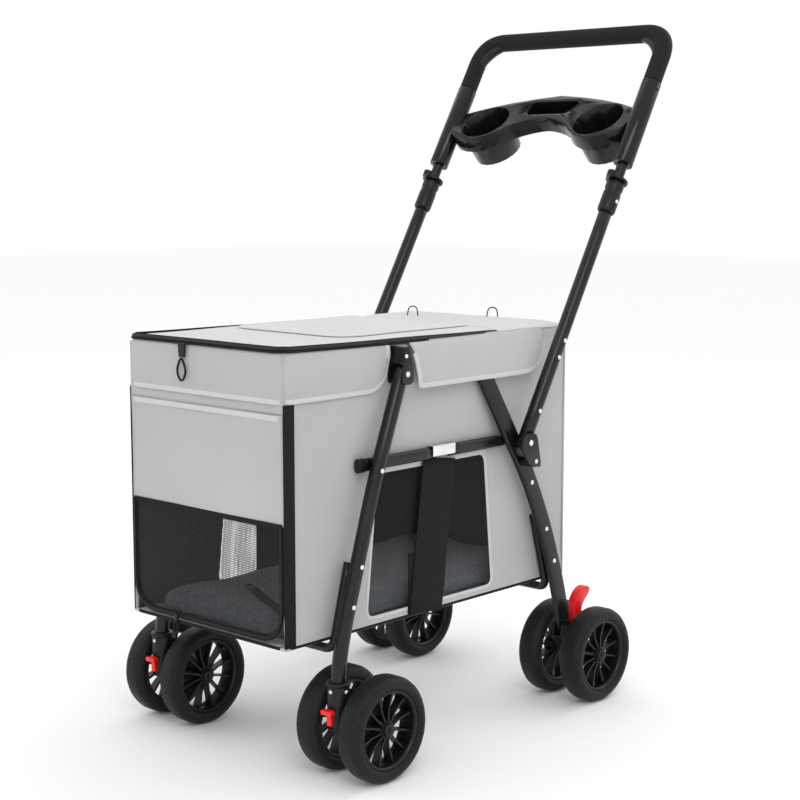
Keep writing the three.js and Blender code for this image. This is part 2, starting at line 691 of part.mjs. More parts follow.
// a curved foot pedal that rises behind the leg and hooks back
function brakePedal({ name, sign }) {
  const { y, z } = PEDAL_PIVOT;
  const shape = new THREE.Shape();
  shape.moveTo(y - 7, z - 5);
  shape.bezierCurveTo(y - 13, z + 22, y - 17, z + 40, y - 9, z + 56);
  shape.bezierCurveTo(y + 2, z + 74, y + 20, z + 76, y + 25, z + 68);
  shape.bezierCurveTo(y + 27, z + 58, y + 9, z + 54, y + 6, z + 42);
  shape.bezierCurveTo(y + 3, z + 26, y + 8, z + 12, y + 7, z - 5);
  shape.closePath();
  const body = solid(sideSlab(sign, shape, STEM_X - PEDAL_HALF, STEM_X + PEDAL_HALF, 5));
  const hole = sidePin(sign, STEM_X - 20, STEM_X + 20, y, z, 2.5 + RUNNING_GAP, 8);
  add(`brake_pedal_${name}`, shaped(cut(body, hole)), RED);
}

// ---- handle: everything below stands on the pivot and leans back ----
const handle = new THREE.Group();
handle.position.set(0, HANDLE_PIVOT.y, HANDLE_PIVOT.z);
handle.rotation.x = HANDLE_TILT;
stroller.add(handle);

function lowerTube({ name, sign }) {
  const bore = LOWER_TUBE_RADIUS - TUBE_WALL;
  const start = 14;
  const end = CLAMP_AT + CLAMP_LENGTH - 6;
  const tube = upright(ring(LOWER_TUBE_RADIUS, bore), start, end, 6).translate(sign * HANDLE_X, 0, 0);
  const near = HINGE_NEAR + 0.3;
  const far = HINGE_FAR - 0.8;
  const eye = sidePin(sign, near, far, 0, 0, 11, 16);
  const neck = sideBlock(sign, near + 1, far - 1, [-6.5, 0], [6.5, start + 12]);
  const hole = sidePin(sign, near - 5, far + 5, 0, 0, PIN_RADIUS + RUNNING_GAP);
  add(`handle_lower_${name}`, shaped(cut(joined(tube, eye, neck), hole)), STEEL, handle);
}

// the sleeve at the lower tube's top end, with a shoulder that guides the upper tube
function telescopeClamp({ name, sign }) {
  const body = upright(circle(13.5), CLAMP_AT, CLAMP_AT + CLAMP_LENGTH, 7).translate(sign * HANDLE_X, 0, 0);
  const seat = upright(circle(LOWER_TUBE_RADIUS + SEAM_GAP), CLAMP_AT - 1, CLAMP_AT + CLAMP_LENGTH - 5.5, 7);
  const guide = upright(circle(UPPER_TUBE_RADIUS + SEAM_GAP), CLAMP_AT, CLAMP_AT + CLAMP_LENGTH + 1, 7);
  const [seatHole, guideHole] = [seat, guide].map((tool) => tool.translate(sign * HANDLE_X, 0, 0));
  add(`telescope_clamp_${name}`, shaped(cut(solid(body), seatHole, guideHole)), BLACK_PLASTIC, handle);
}

// a sprung ring with a finger lobe, pulled up to free the upper tube
function releaseCollar({ name, sign }) {
  const low = CLAMP_AT + CLAMP_LENGTH + 1;
  const disc = upright(circle(17), low, low + 4, 8);
  const lobe = upright(circle(8), low, low + 9, 6).translate(0, -15, 0);
  const hole = upright(circle(UPPER_TUBE_RADIUS + SEAM_GAP), low - 1, low + 20, 7);
  const body = cut(joined(disc, lobe), hole);
  add(`release_collar_${name}`, shaped(body).translate(sign * HANDLE_X, 0, 0), BLACK_PLASTIC, handle);
}

function handleRoute(start, shorten = 0) {
  return [
    [-HANDLE_X, 0, start],
    [-HANDLE_X, 0, HANDLE_LENGTH - shorten],
    [HANDLE_X, 0, HANDLE_LENGTH - shorten],
    [HANDLE_X, 0, start],
  ];
}

function upperHandle() {
  const tube = sweep(circle(UPPER_TUBE_RADIUS), handleRoute(UPPER_TUBE_START), GRIP_BEND, 5, 7);
  add("handle_upper_tube", tube, STEEL, handle);
  const section = ring(GRIP_RADIUS, UPPER_TUBE_RADIUS + SEAM_GAP);
  const grip = sweep(section, handleRoute(TRAY_SLEEVE[1] + 1), GRIP_BEND, 6, 7);
  add("grip", grip, FOAM, handle);
}

// ---- parent tray: two cups, a dish between them and a sleeve on each tube ----
const TRAY_TILT = THREE.MathUtils.degToRad(36 + HANDLE_LEAN);
const TRAY_AT = { v: -6, s: 535 };
const CUP_X = HANDLE_X - TRAY_SLEEVE_RADIUS - CUP_RADIUS - 12;

function trayOutline() {
  const shape = new THREE.Shape();
  const edge = HANDLE_X - UPPER_TUBE_RADIUS - 4;
  const rim = CUP_RADIUS + 3;
  shape.moveTo(-edge, 24);
  shape.quadraticCurveTo(-edge * 0.6, 56, 0, 68);
  shape.quadraticCurveTo(edge * 0.6, 56, edge, 24);
  shape.lineTo(edge, -18);
  shape.quadraticCurveTo(CUP_X + rim, -rim, CUP_X, -rim);
  shape.quadraticCurveTo(CUP_X - rim * 0.8, -rim * 0.8, CUP_X - rim * 1.1, -14);
  shape.quadraticCurveTo(CUP_X * 0.25, 6, 0, 8);
  shape.quadraticCurveTo(-CUP_X * 0.25, 6, -CUP_X + rim * 1.1, -14);
  shape.quadraticCurveTo(-CUP_X + rim * 0.8, -rim * 0.8, -CUP_X, -rim);
  shape.quadraticCurveTo(-CUP_X - rim, -rim, -edge, -18);
  shape.closePath();
  return shape;
}

function parentTray() {
  const inTray = (geometry) => geometry.rotateX(TRAY_TILT).translate(0, TRAY_AT.v, TRAY_AT.s);
  const pieces = [inTray(upright(trayOutline(), -26, 0, 4))];
  const tools = [];
  const dish = roundedOutline(
    [
      [-48, 52],
      [-40, 17],
      [40, 17],
      [48, 52],
    ],
    9,
  );
  tools.push(inTray(upright(dish, -22, 5, 3)));
  for (const { sign } of SIDES) {
    const cup = new THREE.CylinderGeometry(CUP_RADIUS, CUP_RADIUS - 6, CUP_DEPTH, 20).rotateX(Math.PI / 2);
    pieces.push(inTray(cup.translate(sign * CUP_X, 0, -CUP_DEPTH / 2)));
    const hollowRadius = CUP_RADIUS - CUP_WALL;
    const depth = CUP_DEPTH - 3;
    const hollow = new THREE.CylinderGeometry(hollowRadius, hollowRadius - 6, depth + 6, 20).rotateX(Math.PI / 2);
    tools.push(inTray(hollow.translate(sign * CUP_X, 0, 6 - (depth + 6) / 2)));
    const [from, to] = TRAY_SLEEVE;
    pieces.push(upright(circle(TRAY_SLEEVE_RADIUS), from, to, 8).translate(sign * HANDLE_X, 0, 0));
    const bore = upright(circle(UPPER_TUBE_RADIUS + SEAM_GAP), from - 30, to + 30, 7);
    tools.push(bore.translate(sign * HANDLE_X, 0, 0));
  }
  add("parent_tray", shaped(cut(joined(...pieces), ...tools)), GLOSS_BLACK, handle);
}

// ---- assembly ----
cabinFloor();
endPanels();
frontDoor();
lidPanel();
rimFrame();
valances();
floorStrap();
floorLoops();
for (const side of SIDES) {
  sidePanel(side);
  frontBracket(side);
  rearBracket(side);
  frontLeg(side);
  rearLeg(side);
  hingePlate(side);
  braces(side);
  casterHousing(side);
  swivelLock(side);
  rearHousing(side);
  brakePedal(side);
  wheelPair("front", side, FRONT_AXLE_Y);
  wheelPair("rear", side, REAR_AXLE_Y);
  lowerTube(side);
  telescopeClamp(side);
  releaseCollar(side);
}
upperHandle();
parentTray();

export default stroller;
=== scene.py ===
"""Folding pet stroller: sewn cabin, padded floor, tube frame, paired wheels, handle with a cup tray.

Metres. -Y is the door end, +Y the handle end, +X the right side, +Z up. Places come from the
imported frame; MM turns a detail's size in millimetres into metres.
"""
import json
import math

import bmesh
import bpy
from mathutils import Matrix, Vector, noise

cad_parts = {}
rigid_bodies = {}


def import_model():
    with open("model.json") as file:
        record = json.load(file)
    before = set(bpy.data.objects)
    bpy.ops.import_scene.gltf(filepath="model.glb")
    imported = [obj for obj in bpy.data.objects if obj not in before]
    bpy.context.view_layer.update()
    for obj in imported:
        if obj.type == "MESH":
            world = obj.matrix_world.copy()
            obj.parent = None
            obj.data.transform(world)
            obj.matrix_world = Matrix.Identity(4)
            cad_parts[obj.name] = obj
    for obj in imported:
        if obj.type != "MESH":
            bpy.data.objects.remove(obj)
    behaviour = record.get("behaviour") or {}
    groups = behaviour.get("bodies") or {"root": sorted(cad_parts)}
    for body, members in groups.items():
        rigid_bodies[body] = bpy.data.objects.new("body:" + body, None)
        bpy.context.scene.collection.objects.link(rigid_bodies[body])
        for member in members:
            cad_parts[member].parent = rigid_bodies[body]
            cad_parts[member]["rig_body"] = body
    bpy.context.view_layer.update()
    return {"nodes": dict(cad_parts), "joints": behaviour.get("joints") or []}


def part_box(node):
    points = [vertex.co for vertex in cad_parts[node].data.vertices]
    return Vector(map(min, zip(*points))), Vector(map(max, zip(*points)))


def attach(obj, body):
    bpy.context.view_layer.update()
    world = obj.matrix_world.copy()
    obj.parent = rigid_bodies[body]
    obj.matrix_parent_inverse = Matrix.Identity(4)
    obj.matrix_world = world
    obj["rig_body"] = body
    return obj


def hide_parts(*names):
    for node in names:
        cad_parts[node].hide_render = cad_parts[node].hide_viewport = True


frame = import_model()

MM = 0.001
X_AXIS = Vector((1, 0, 0))
Y_AXIS = Vector((0, 1, 0))
Z_AXIS = Vector((0, 0, 1))
SIDES = {"left": -1, "right": 1}
WELD = 1e-6
NEARLY_NOTHING = 1e-9


def new_object(name, data):
    piece = bpy.data.objects.new(name, data)
    bpy.context.scene.collection.objects.link(piece)
    return piece


# ---- camera, first, so that everything after it is made for its view ----
CAMERA_AIM = Vector((0.0148, -0.0375, 0.4544))
CAMERA_DISTANCE = 2.4294
CAMERA_AZIMUTH = 42.57
CAMERA_ELEVATION = 7.68
CAMERA_LENS = 75.5


def make_camera():
    azimuth, elevation = math.radians(CAMERA_AZIMUTH), math.radians(CAMERA_ELEVATION)
    back = Vector((math.sin(azimuth), -math.cos(azimuth), math.tan(elevation))).normalized()
    camera = new_object("camera", bpy.data.cameras.new("camera"))
    camera.data.lens = CAMERA_LENS
    camera.location = CAMERA_AIM + back * CAMERA_DISTANCE
    camera.rotation_euler = back.to_track_quat("Z", "Y").to_euler()
    bpy.context.scene.camera = camera


make_camera()


# ---- places read from the frame ----
def low(node):
    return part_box(node)[0]


def high(node):
    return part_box(node)[1]


PIVOTS = {joint["name"]: Vector(joint["pos_m"]) for joint in frame["joints"] if joint["type"] == "hinge"}
WALL = high("side_panel_right").x
FRONT = low("front_door").y
REAR = high("rear_panel").y
FLOOR = low("floor_board").z
TOP = high("lid_panel").z
SEAM = high("lid_panel").y
DOOR_TOP = high("front_door").z
FRONT_PIVOT = PIVOTS["front_frame_fold"]
REAR_PIVOT = PIVOTS["frame_fold"]
BRACE_FRONT = PIVOTS["brace_front_fold_right"]
BRACE_REAR = PIVOTS["brace_rear_fold_right"]
HANDLE_PIVOT = PIVOTS["handle_fold"]
STEM = PIVOTS["caster_swivel_right"]
REAR_AXLE = PIVOTS["rear_wheel_right_inner_spin"]
WHEEL_RADIUS = REAR_AXLE.z
HANDLE_X = (low("handle_lower_right").x + high("handle_lower_right").x) / 2
HANDLE_UP = next(Vector(joint["axis"]) for joint in frame["joints"] if joint["name"] == "handle_extend")
HANDLE_BACK = HANDLE_UP.cross(X_AXIS) * -1


# ---- effects shared by several materials ----
def effect(name, inputs, outputs):
    tree = bpy.data.node_groups.new(name, "ShaderNodeTree")
    for label, value in inputs.items():
        socket = tree.interface.new_socket(label, in_out="INPUT", socket_type="NodeSocketFloat")
        socket.default_value = value
    for label in outputs:
        tree.interface.new_socket(label, in_out="OUTPUT", socket_type="NodeSocketFloat")
    return tree, tree.nodes.new("NodeGroupInput"), tree.nodes.new("NodeGroupOutput")


def feed(tree, socket, value):
    if isinstance(value, bpy.types.NodeSocket):
        tree.links.new(value, socket)
    else:
        socket.default_value = value


def calc(tree, operation, first, second=0.0):
    node = tree.nodes.new("ShaderNodeMath")
    node.operation = operation
    feed(tree, node.inputs[0], first)
    feed(tree, node.inputs[1], second)
    return node.outputs[0]


def object_axes(tree):
    """The point and the surface normal, both in the object's own frame, as three sockets each."""
    coordinates = tree.nodes.new("ShaderNodeTexCoord")
    split = []
    for output in ("Object", "Normal"):
        node = tree.nodes.new("ShaderNodeSeparateXYZ")
        tree.links.new(coordinates.outputs[output], node.inputs[0])
        split.append(list(node.outputs))
    return split


def noise_value(tree, scale, detail=2.0, roughness=0.5):
    coordinates = tree.nodes.new("ShaderNodeTexCoord")
    node = tree.nodes.new("ShaderNodeTexNoise")
    tree.links.new(coordinates.outputs["Object"], node.inputs["Vector"])
    feed(tree, node.inputs["Scale"], scale)
    node.inputs["Detail"].default_value = detail
    node.inputs["Roughness"].default_value = roughness
    return node.outputs["Fac"]


def make_weave_effect():
    """Over-and-under threads on whichever plane the surface faces, with uneven yarn."""
    tree, inputs, outputs = effect("thread_weave", {"Pitch": 0.001}, ["Height", "Yarn"])
    point, normal = object_axes(tree)
    turns = calc(tree, "DIVIDE", 2 * math.pi, inputs.outputs["Pitch"])
    waves = [calc(tree, "SINE", calc(tree, "MULTIPLY", axis, turns)) for axis in point]
    total = 0.0
    for i in range(3):
        crossing = calc(tree, "MULTIPLY", waves[(i + 1) % 3], waves[(i + 2) % 3])
        facing = calc(tree, "ABSOLUTE", normal[i])
        total = calc(tree, "ADD", total, calc(tree, "MULTIPLY", crossing, facing))
    feed(tree, outputs.inputs["Height"], total)
    feed(tree, outputs.inputs["Yarn"], noise_value(tree, 900.0, 2.0))


def make_crease_effect():
    """Slow creases and faint patches of light and shade in cloth."""
    tree, inputs, outputs = effect("cloth_creases", {"Scale": 14.0}, ["Height", "Tint"])
    slow = noise_value(tree, inputs.outputs["Scale"], 3.0, 0.55)
    feed(tree, outputs.inputs["Height"], slow)
    patches = noise_value(tree, calc(tree, "MULTIPLY", inputs.outputs["Scale"], 0.4), 2.0)
    feed(tree, outputs.inputs["Tint"], patches)


FACING_SHARE = 0.6


def make_netting_effect():
    """1 on a thread and 0 in a hole, for a square net on the plane that the surface faces."""
    tree, inputs, outputs = effect("square_net", {"Pitch": 0.0024, "Thread": 0.3}, ["Thread Mask"])
    point, normal = object_axes(tree)
    hole = 1.0
    for axis, facing in zip(point, normal):
        cell = calc(tree, "FRACT", calc(tree, "DIVIDE", axis, inputs.outputs["Pitch"]))
        centred = calc(tree, "ABSOLUTE", calc(tree, "SUBTRACT", cell, 0.5))
        open_half = calc(tree, "MULTIPLY", calc(tree, "SUBTRACT", 1.0, inputs.outputs["Thread"]), 0.5)
        inside = calc(tree, "LESS_THAN", centred, open_half)
        across = calc(tree, "GREATER_THAN", calc(tree, "ABSOLUTE", facing), FACING_SHARE)
        hole = calc(tree, "MULTIPLY", hole, calc(tree, "MAXIMUM", inside, across))
    feed(tree, outputs.inputs["Thread Mask"], calc(tree, "SUBTRACT", 1.0, hole))


def make_rib_effect():
    """Cross ribs along whichever way the band runs, as in webbing and zip coils."""
    tree, inputs, outputs = effect("band_ribs", {"Pitch": 0.0018}, ["Height"])
    point = object_axes(tree)[0]
    turns = calc(tree, "DIVIDE", 2 * math.pi, inputs.outputs["Pitch"])
    total = calc(tree, "ADD", calc(tree, "ADD", point[0], point[1]), point[2])
    feed(tree, outputs.inputs["Height"], calc(tree, "SINE", calc(tree, "MULTIPLY", total, turns)))


def make_grain_effect():
    """Fine spark-eroded grain of moulded plastic and powder paint, with slow rub marks."""
    tree, inputs, outputs = effect("moulded_grain", {"Scale": 1800.0}, ["Height", "Rub"])
    feed(tree, outputs.inputs["Height"], noise_value(tree, inputs.outputs["Scale"], 3.0, 0.6))
    feed(tree, outputs.inputs["Rub"], noise_value(tree, 22.0, 4.0, 0.6))


def make_cell_effect():
    """Round pebbles, for the tyre's tread and the grip's foam skin."""
    tree, inputs, outputs = effect("pebbles", {"Scale": 260.0}, ["Height"])
    coordinates = tree.nodes.new("ShaderNodeTexCoord")
    node = tree.nodes.new("ShaderNodeTexVoronoi")
    tree.links.new(coordinates.outputs["Object"], node.inputs["Vector"])
    feed(tree, node.inputs["Scale"], inputs.outputs["Scale"])
    feed(tree, outputs.inputs["Height"], calc(tree, "SUBTRACT", 1.0, node.outputs["Distance"]))


for make_effect in (
    make_weave_effect,
    make_crease_effect,
    make_netting_effect,
    make_rib_effect,
    make_grain_effect,
    make_cell_effect,
):
    make_effect()


# ---- materials ----
def start_material(name, roughness, metallic=0.0, **sockets):
    material = bpy.data.materials.new(name)
    material.use_nodes = True
    shader = material.node_tree.nodes["Principled BSDF"]
    shader.inputs["Roughness"].default_value = roughness
    shader.inputs["Metallic"].default_value = metallic
    for label, value in sockets.items():
        shader.inputs[label.replace("_", " ")].default_value = value
    return material, material.node_tree, shader


def use_effect(tree, name, **values):
    node = tree.nodes.new("ShaderNodeGroup")
    node.node_tree = bpy.data.node_groups[name]
    for label, value in values.items():
        node.inputs[label].default_value = value
    return node.outputs


def two_tones(tree, shader, mask, dark, light, low_edge=0.3, high_edge=0.7):
    """Base Color moves between two close tones with the mask."""
    ramp = tree.nodes.new("ShaderNodeValToRGB")
    ramp.color_ramp.elements[0].position = low_edge
    ramp.color_ramp.elements[1].position = high_edge
    ramp.color_ramp.elements[0].color = (*dark, 1)
    ramp.color_ramp.elements[1].color = (*light, 1)
    tree.links.new(mask, ramp.inputs[0])
    tree.links.new(ramp.outputs[0], shader.inputs["Base Color"])


def rough_range(tree, shader, mask, smooth, rough):
    node = tree.nodes.new("ShaderNodeMapRange")
    tree.links.new(mask, node.inputs["Value"])
    node.inputs["To Min"].default_value = smooth
    node.inputs["To Max"].default_value = rough
    tree.links.new(node.outputs["Result"], shader.inputs["Roughness"])


def relief(tree, shader, *layers):
    """Stacks bumps given as (height, depth in metres) and feeds the result to Normal."""
    below = None
    for height, depth in layers:
        node = tree.nodes.new("ShaderNodeBump")
        node.inputs["Distance"].default_value = depth
        tree.links.new(height, node.inputs["Height"])
        if below:
            tree.links.new(below, node.inputs["Normal"])
        below = node.outputs["Normal"]
    tree.links.new(below, shader.inputs["Normal"])


def cloth_material(name, dark, light, pitch, crease=0.0012, sheen=0.25):
    material, tree, shader = start_material(name, 0.88, Sheen_Weight=sheen, Sheen_Roughness=0.5)
    weave = use_effect(tree, "thread_weave", Pitch=pitch)
    creases = use_effect(tree, "cloth_creases", Scale=11.0)
    two_tones(tree, shader, creases["Tint"], dark, light)
    rough_range(tree, shader, weave["Yarn"], 0.8, 0.95)
    relief(tree, shader, (creases["Height"], crease), (weave["Height"], pitch * 0.12))
    return material


def net_material(name, color, pitch, thread):
    material, tree, shader = start_material(name, 0.7)
    shader.inputs["Base Color"].default_value = (*color, 1)
    net = use_effect(tree, "square_net", Pitch=pitch, Thread=thread)
    tree.links.new(net["Thread Mask"], shader.inputs["Alpha"])
    rough_range(tree, shader, use_effect(tree, "cloth_creases")["Tint"], 0.6, 0.8)
    return material


def ribbed_material(name, dark, light, pitch, roughness=0.8, depth=0.0003):
    material, tree, shader = start_material(name, roughness, Specular_IOR_Level=0.25)
    ribs = use_effect(tree, "band_ribs", Pitch=pitch)
    yarn = use_effect(tree, "thread_weave", Pitch=pitch * 0.6)
    two_tones(tree, shader, yarn["Yarn"], dark, light)
    relief(tree, shader, (ribs["Height"], depth), (yarn["Height"], depth * 0.3))
    return material


def moulded_material(
    name, dark, light, smooth, rough, grain=1800.0, depth=0.00004, metallic=0.0, **sockets
):
    material, tree, shader = start_material(name, rough, metallic, **sockets)
    skin = use_effect(tree, "moulded_grain", Scale=grain)
    two_tones(tree, shader, skin["Rub"], dark, light)
    rough_range(tree, shader, skin["Rub"], smooth, rough)
    relief(tree, shader, (skin["Height"], depth))
    return material


def pebbled_material(name, dark, light, roughness, scale, depth):
    material, tree, shader = start_material(name, roughness, Specular_IOR_Level=0.2)
    pebbles = use_effect(tree, "pebbles", Scale=scale)
    skin = use_effect(tree, "moulded_grain", Scale=900.0)
    two_tones(tree, shader, pebbles["Height"], dark, light)
    rough_range(tree, shader, skin["Rub"], roughness - 0.12, roughness + 0.1)
    relief(tree, shader, (pebbles["Height"], depth), (skin["Height"], depth * 0.2))
    return material


GREY_CLOTH = cloth_material("grey_cloth", (0.425, 0.43, 0.435), (0.475, 0.48, 0.485), 0.0011)
PALE_CLOTH = cloth_material("pale_cloth", (0.635, 0.64, 0.645), (0.69, 0.695, 0.70), 0.0011)
PALE_BINDING = ribbed_material(
    "pale_binding", (0.55, 0.555, 0.56), (0.64, 0.645, 0.65), 0.0012, depth=0.0001
)
PAD_PLUSH = cloth_material("pad_plush", (0.085, 0.105, 0.135), (0.14, 0.165, 0.20), 0.0022, 0.004, 0.6)
DARK_LINING = cloth_material(
    "dark_lining", (0.028, 0.030, 0.034), (0.045, 0.048, 0.053), 0.0009, 0.0012, 0.15
)
DOOR_NET = net_material("door_net", (0.012, 0.012, 0.013), 0.0024, 0.22)
SIDE_NET = net_material("side_net", (0.03, 0.03, 0.033), 0.0026, 0.10)
BLACK_TAPE = ribbed_material(
    "black_tape", (0.004, 0.004, 0.005), (0.010, 0.010, 0.011), 0.0012, depth=0.0001
)
BLACK_WEBBING = ribbed_material("black_webbing", (0.005, 0.005, 0.006), (0.013, 0.013, 0.015), 0.0021)
ZIP_COIL = ribbed_material("zip_coil", (0.006, 0.006, 0.007), (0.02, 0.02, 0.022), 0.0016, 0.35, 0.0005)
POWDER_COAT = moulded_material(
    "powder_coat", (0.004, 0.004, 0.005), (0.008, 0.008, 0.009), 0.2, 0.32, 1400.0, Specular_IOR_Level=0.35
)
BLACK_NYLON = moulded_material(
    "black_nylon", (0.004, 0.004, 0.005), (0.009, 0.009, 0.010), 0.3, 0.45, Specular_IOR_Level=0.3
)
GLOSS_BLACK = moulded_material(
    "gloss_black", (0.003, 0.003, 0.004), (0.006, 0.006, 0.007), 0.12, 0.22, 700.0, 0.00001,
    Specular_IOR_Level=0.32
)
CHROME_PLATE = moulded_material(
    "chrome_plate", (0.72, 0.73, 0.75), (0.85, 0.86, 0.88), 0.08, 0.2, 900.0, 0.00002, 1.0
)
BRIGHT_RIVET = moulded_material(
    "bright_rivet", (0.72, 0.72, 0.73), (0.88, 0.88, 0.89), 0.22, 0.4, 900.0, 0.00003, 0.35
)
RED_NYLON = moulded_material("red_nylon", (0.74, 0.008, 0.006), (0.88, 0.016, 0.012), 0.25, 0.42)
HUB_NYLON = moulded_material(
    "hub_nylon", (0.004, 0.004, 0.005), (0.008, 0.008, 0.009), 0.26, 0.4, Specular_IOR_Level=0.3
)
TYRE_RUBBER = pebbled_material(
    "tyre_rubber", (0.005, 0.005, 0.006), (0.012, 0.012, 0.014), 0.5, 420.0, 0.0006
)
FOAM_GRIP = pebbled_material(
    "foam_grip", (0.007, 0.007, 0.008), (0.013, 0.013, 0.015), 0.72, 900.0, 0.00015
)
# the record's finish that each material shows
FINISHES = {
    "grey_fabric": (GREY_CLOTH, PALE_BINDING, DOOR_NET, SIDE_NET), "pale_fabric": (PALE_CLOTH,),
    "pad_fabric": (PAD_PLUSH, DARK_LINING), "webbing": (BLACK_TAPE, BLACK_WEBBING, ZIP_COIL),
    "steel_tube": (POWDER_COAT,), "black_plastic": (BLACK_NYLON, HUB_NYLON),
    "gloss_black": (GLOSS_BLACK,), "chrome_clip": (CHROME_PLATE, BRIGHT_RIVET),
    "red_plastic": (RED_NYLON,), "tyre": (TYRE_RUBBER,), "foam_grip": (FOAM_GRIP,)
}
SLOT_OF = {material.name: slot for slot, materials in FINISHES.items() for material in materials}


# ---- mesh tools ----
def add_mesh(name, vertices, faces, material, smooth=True):
    data = bpy.data.meshes.new(name)
    data.from_pydata([tuple(v) for v in vertices], [], faces)
    data.validate()
    data.materials.append(material)
    data.polygons.foreach_set("use_smooth", [smooth] * len(data.polygons))
    return new_object(name, data)


def face_out(piece):
    shell = bmesh.new()
    shell.from_mesh(piece.data)
    bmesh.ops.remove_doubles(shell, verts=shell.verts, dist=WELD)
    bmesh.ops.recalc_face_normals(shell, faces=shell.faces)
    shell.to_mesh(piece.data)
    shell.free()
    return piece


def prism(name, lower, upper, material):
    """A solid between two outlines with the same number of points."""
    count = len(lower)
    faces = [tuple(range(count))[::-1], tuple(range(count, 2 * count))]
    faces += [(k, (k + 1) % count, count + (k + 1) % count, count + k) for k in range(count)]
    return add_mesh(name, lower + upper, faces, material)


def apply_modifiers(piece):
    bpy.context.view_layer.update()
    evaluated = piece.evaluated_get(bpy.context.evaluated_depsgraph_get())
    data = bpy.data.meshes.new_from_object(evaluated)
    piece.modifiers.clear()
    piece.data = data
    return piece


def soften_edges(piece, width, angle=30, segments=2):
    """Rounds the sharp edges and keeps the flats flat."""
    rounding = piece.modifiers.new("rounded_edges", "BEVEL")
    rounding.width = width
    rounding.segments = segments
    rounding.limit_method = "ANGLE"
    rounding.angle_limit = math.radians(angle)
    rounding.harden_normals = True
    return apply_modifiers(piece)


def joined(name, pieces):
    """One object out of several, each keeping its own material."""
    shell = bmesh.new()
    materials = []
    for piece in pieces:
        start = len(shell.faces)
        shell.from_mesh(piece.data)
        shell.faces.ensure_lookup_table()
        slots = []
        for material in piece.data.materials:
            if material not in materials:
                materials.append(material)
            slots.append(materials.index(material))
        for face in shell.faces[start:]:
            face.material_index = slots[face.material_index]
        bpy.data.objects.remove(piece)
    data = bpy.data.meshes.new(name)
    shell.to_mesh(data)
    shell.free()
    for material in materials:
        data.materials.append(material)
    return new_object(name, data)


def rounded_path(points, bend=0.0, steps=6, closed=False):
    """Straight runs joined by round bends. bend is a radius-like reach, or one per corner."""
    points = [Vector(point) for point in points]
    count = len(points)
    reaches = bend if isinstance(bend, (list, tuple)) else [bend] * count
    path = []
    for i, corner in enumerate(points):
        if not closed and i in (0, count - 1):
            path.append(corner)
            continue
        before, after = points[i - 1] - corner, points[(i + 1) % count] - corner
        reach = min(reaches[i], before.length * 0.49, after.length * 0.49)
        start, end = corner + before.normalized() * reach, corner + after.normalized() * reach
        for k in range(steps + 1):
            t = k / steps
            path.append(start * (1 - t) ** 2 + corner * 2 * t * (1 - t) + end * t * t)
    return path


def straight(start, end, count):
    """Evenly spaced points from start to end."""
    return [Vector(start).lerp(Vector(end), k / count) for k in range(count + 1)]


def circle_section(radius, sides=24):
    turn = 2 * math.pi / sides
    return [(radius * math.cos(i * turn), radius * math.sin(i * turn)) for i in range(sides)]


def oval_section(across, along, sides=24):
    """Two half circles joined by flats: "across" is the thickness, "along" the depth."""
    straight = (along - across) / 2
    section = []
    for i in range(sides):
        angle = 2 * math.pi * (i + 0.5) / sides
        shift = straight if math.sin(angle) > 0 else -straight
        section.append((across / 2 * math.cos(angle), across / 2 * math.sin(angle) + shift))
    return section


def band_section(width, thickness):
    """A flat band with eased edges: the first coordinate runs across its thickness."""
    edge = thickness * 0.35
    half, side = thickness / 2, width / 2
    corners = [(half, -side + edge), (half, side - edge), (edge, side), (-edge, side)]
    return corners + [(-a, -b) for a, b in corners]


def sweep(name, path, section, material, side=None, closed=False):
    """A section drawn along a path; the section's first coordinate stays towards "side"."""
    count = len(path)
    rings = []
    towards = None
    for i, point in enumerate(path):
        ahead = path[(i + 1) % count] if closed else path[min(i + 1, count - 1)]
        behind = path[i - 1] if closed else path[max(i - 1, 0)]
        tangent = (ahead - behind).normalized()
        seed = side(point) if callable(side) else side or towards
        if seed is None:
            seed = X_AXIS if abs(tangent.x) < 0.9 else Z_AXIS
        first = (seed - tangent * seed.dot(tangent)).normalized()
        towards = first
        second = tangent.cross(first)
        rings.append([point + first * a + second * b for a, b in section])
    size = len(section)
    vertices = [corner for ring in rings for corner in ring]
    faces = []
    for i in range(count if closed else count - 1):
        here, there = i * size, ((i + 1) % count) * size
        for k in range(size):
            onward = (k + 1) % size
            faces.append((here + k, here + onward, there + onward, there + k))
    if not closed:
        faces.append(tuple(reversed(range(size))))
        faces.append(tuple((count - 1) * size + k for k in range(size)))
    return face_out(add_mesh(name, vertices, faces, material))


def turned(name, base, axis, profile, material, segments=40):
    """A profile of (distance along the axis, radius) turned about the axis."""
    axis = Vector(axis).normalized()
    first = axis.orthogonal().normalized()
    second = axis.cross(first)
    vertices, rings, sizes = [], [], []
    for along, radius in profile:
        rings.append(len(vertices))
        sizes.append(1 if radius < WELD / 10 else segments)
        for k in range(sizes[-1]):
            angle = 2 * math.pi * k / segments
            out = first * math.cos(angle) + second * math.sin(angle)
            vertices.append(Vector(base) + axis * along + out * radius)
    faces = []
    for i in range(len(profile) - 1):
        for k in range(segments):
            onward = (k + 1) % segments
            places = ((i, k), (i, onward), (i + 1, onward), (i + 1, k))
            turns = [rings[ring] + (step if sizes[ring] > 1 else 0) for ring, step in places]
            corners = list(dict.fromkeys(turns))
            if len(corners) > 2:
                faces.append(tuple(corners))
    return face_out(add_mesh(name, vertices, faces, material))


MOULDED_WELD = 0.02 * MM
MOULDED_FLAT = math.radians(1.5)


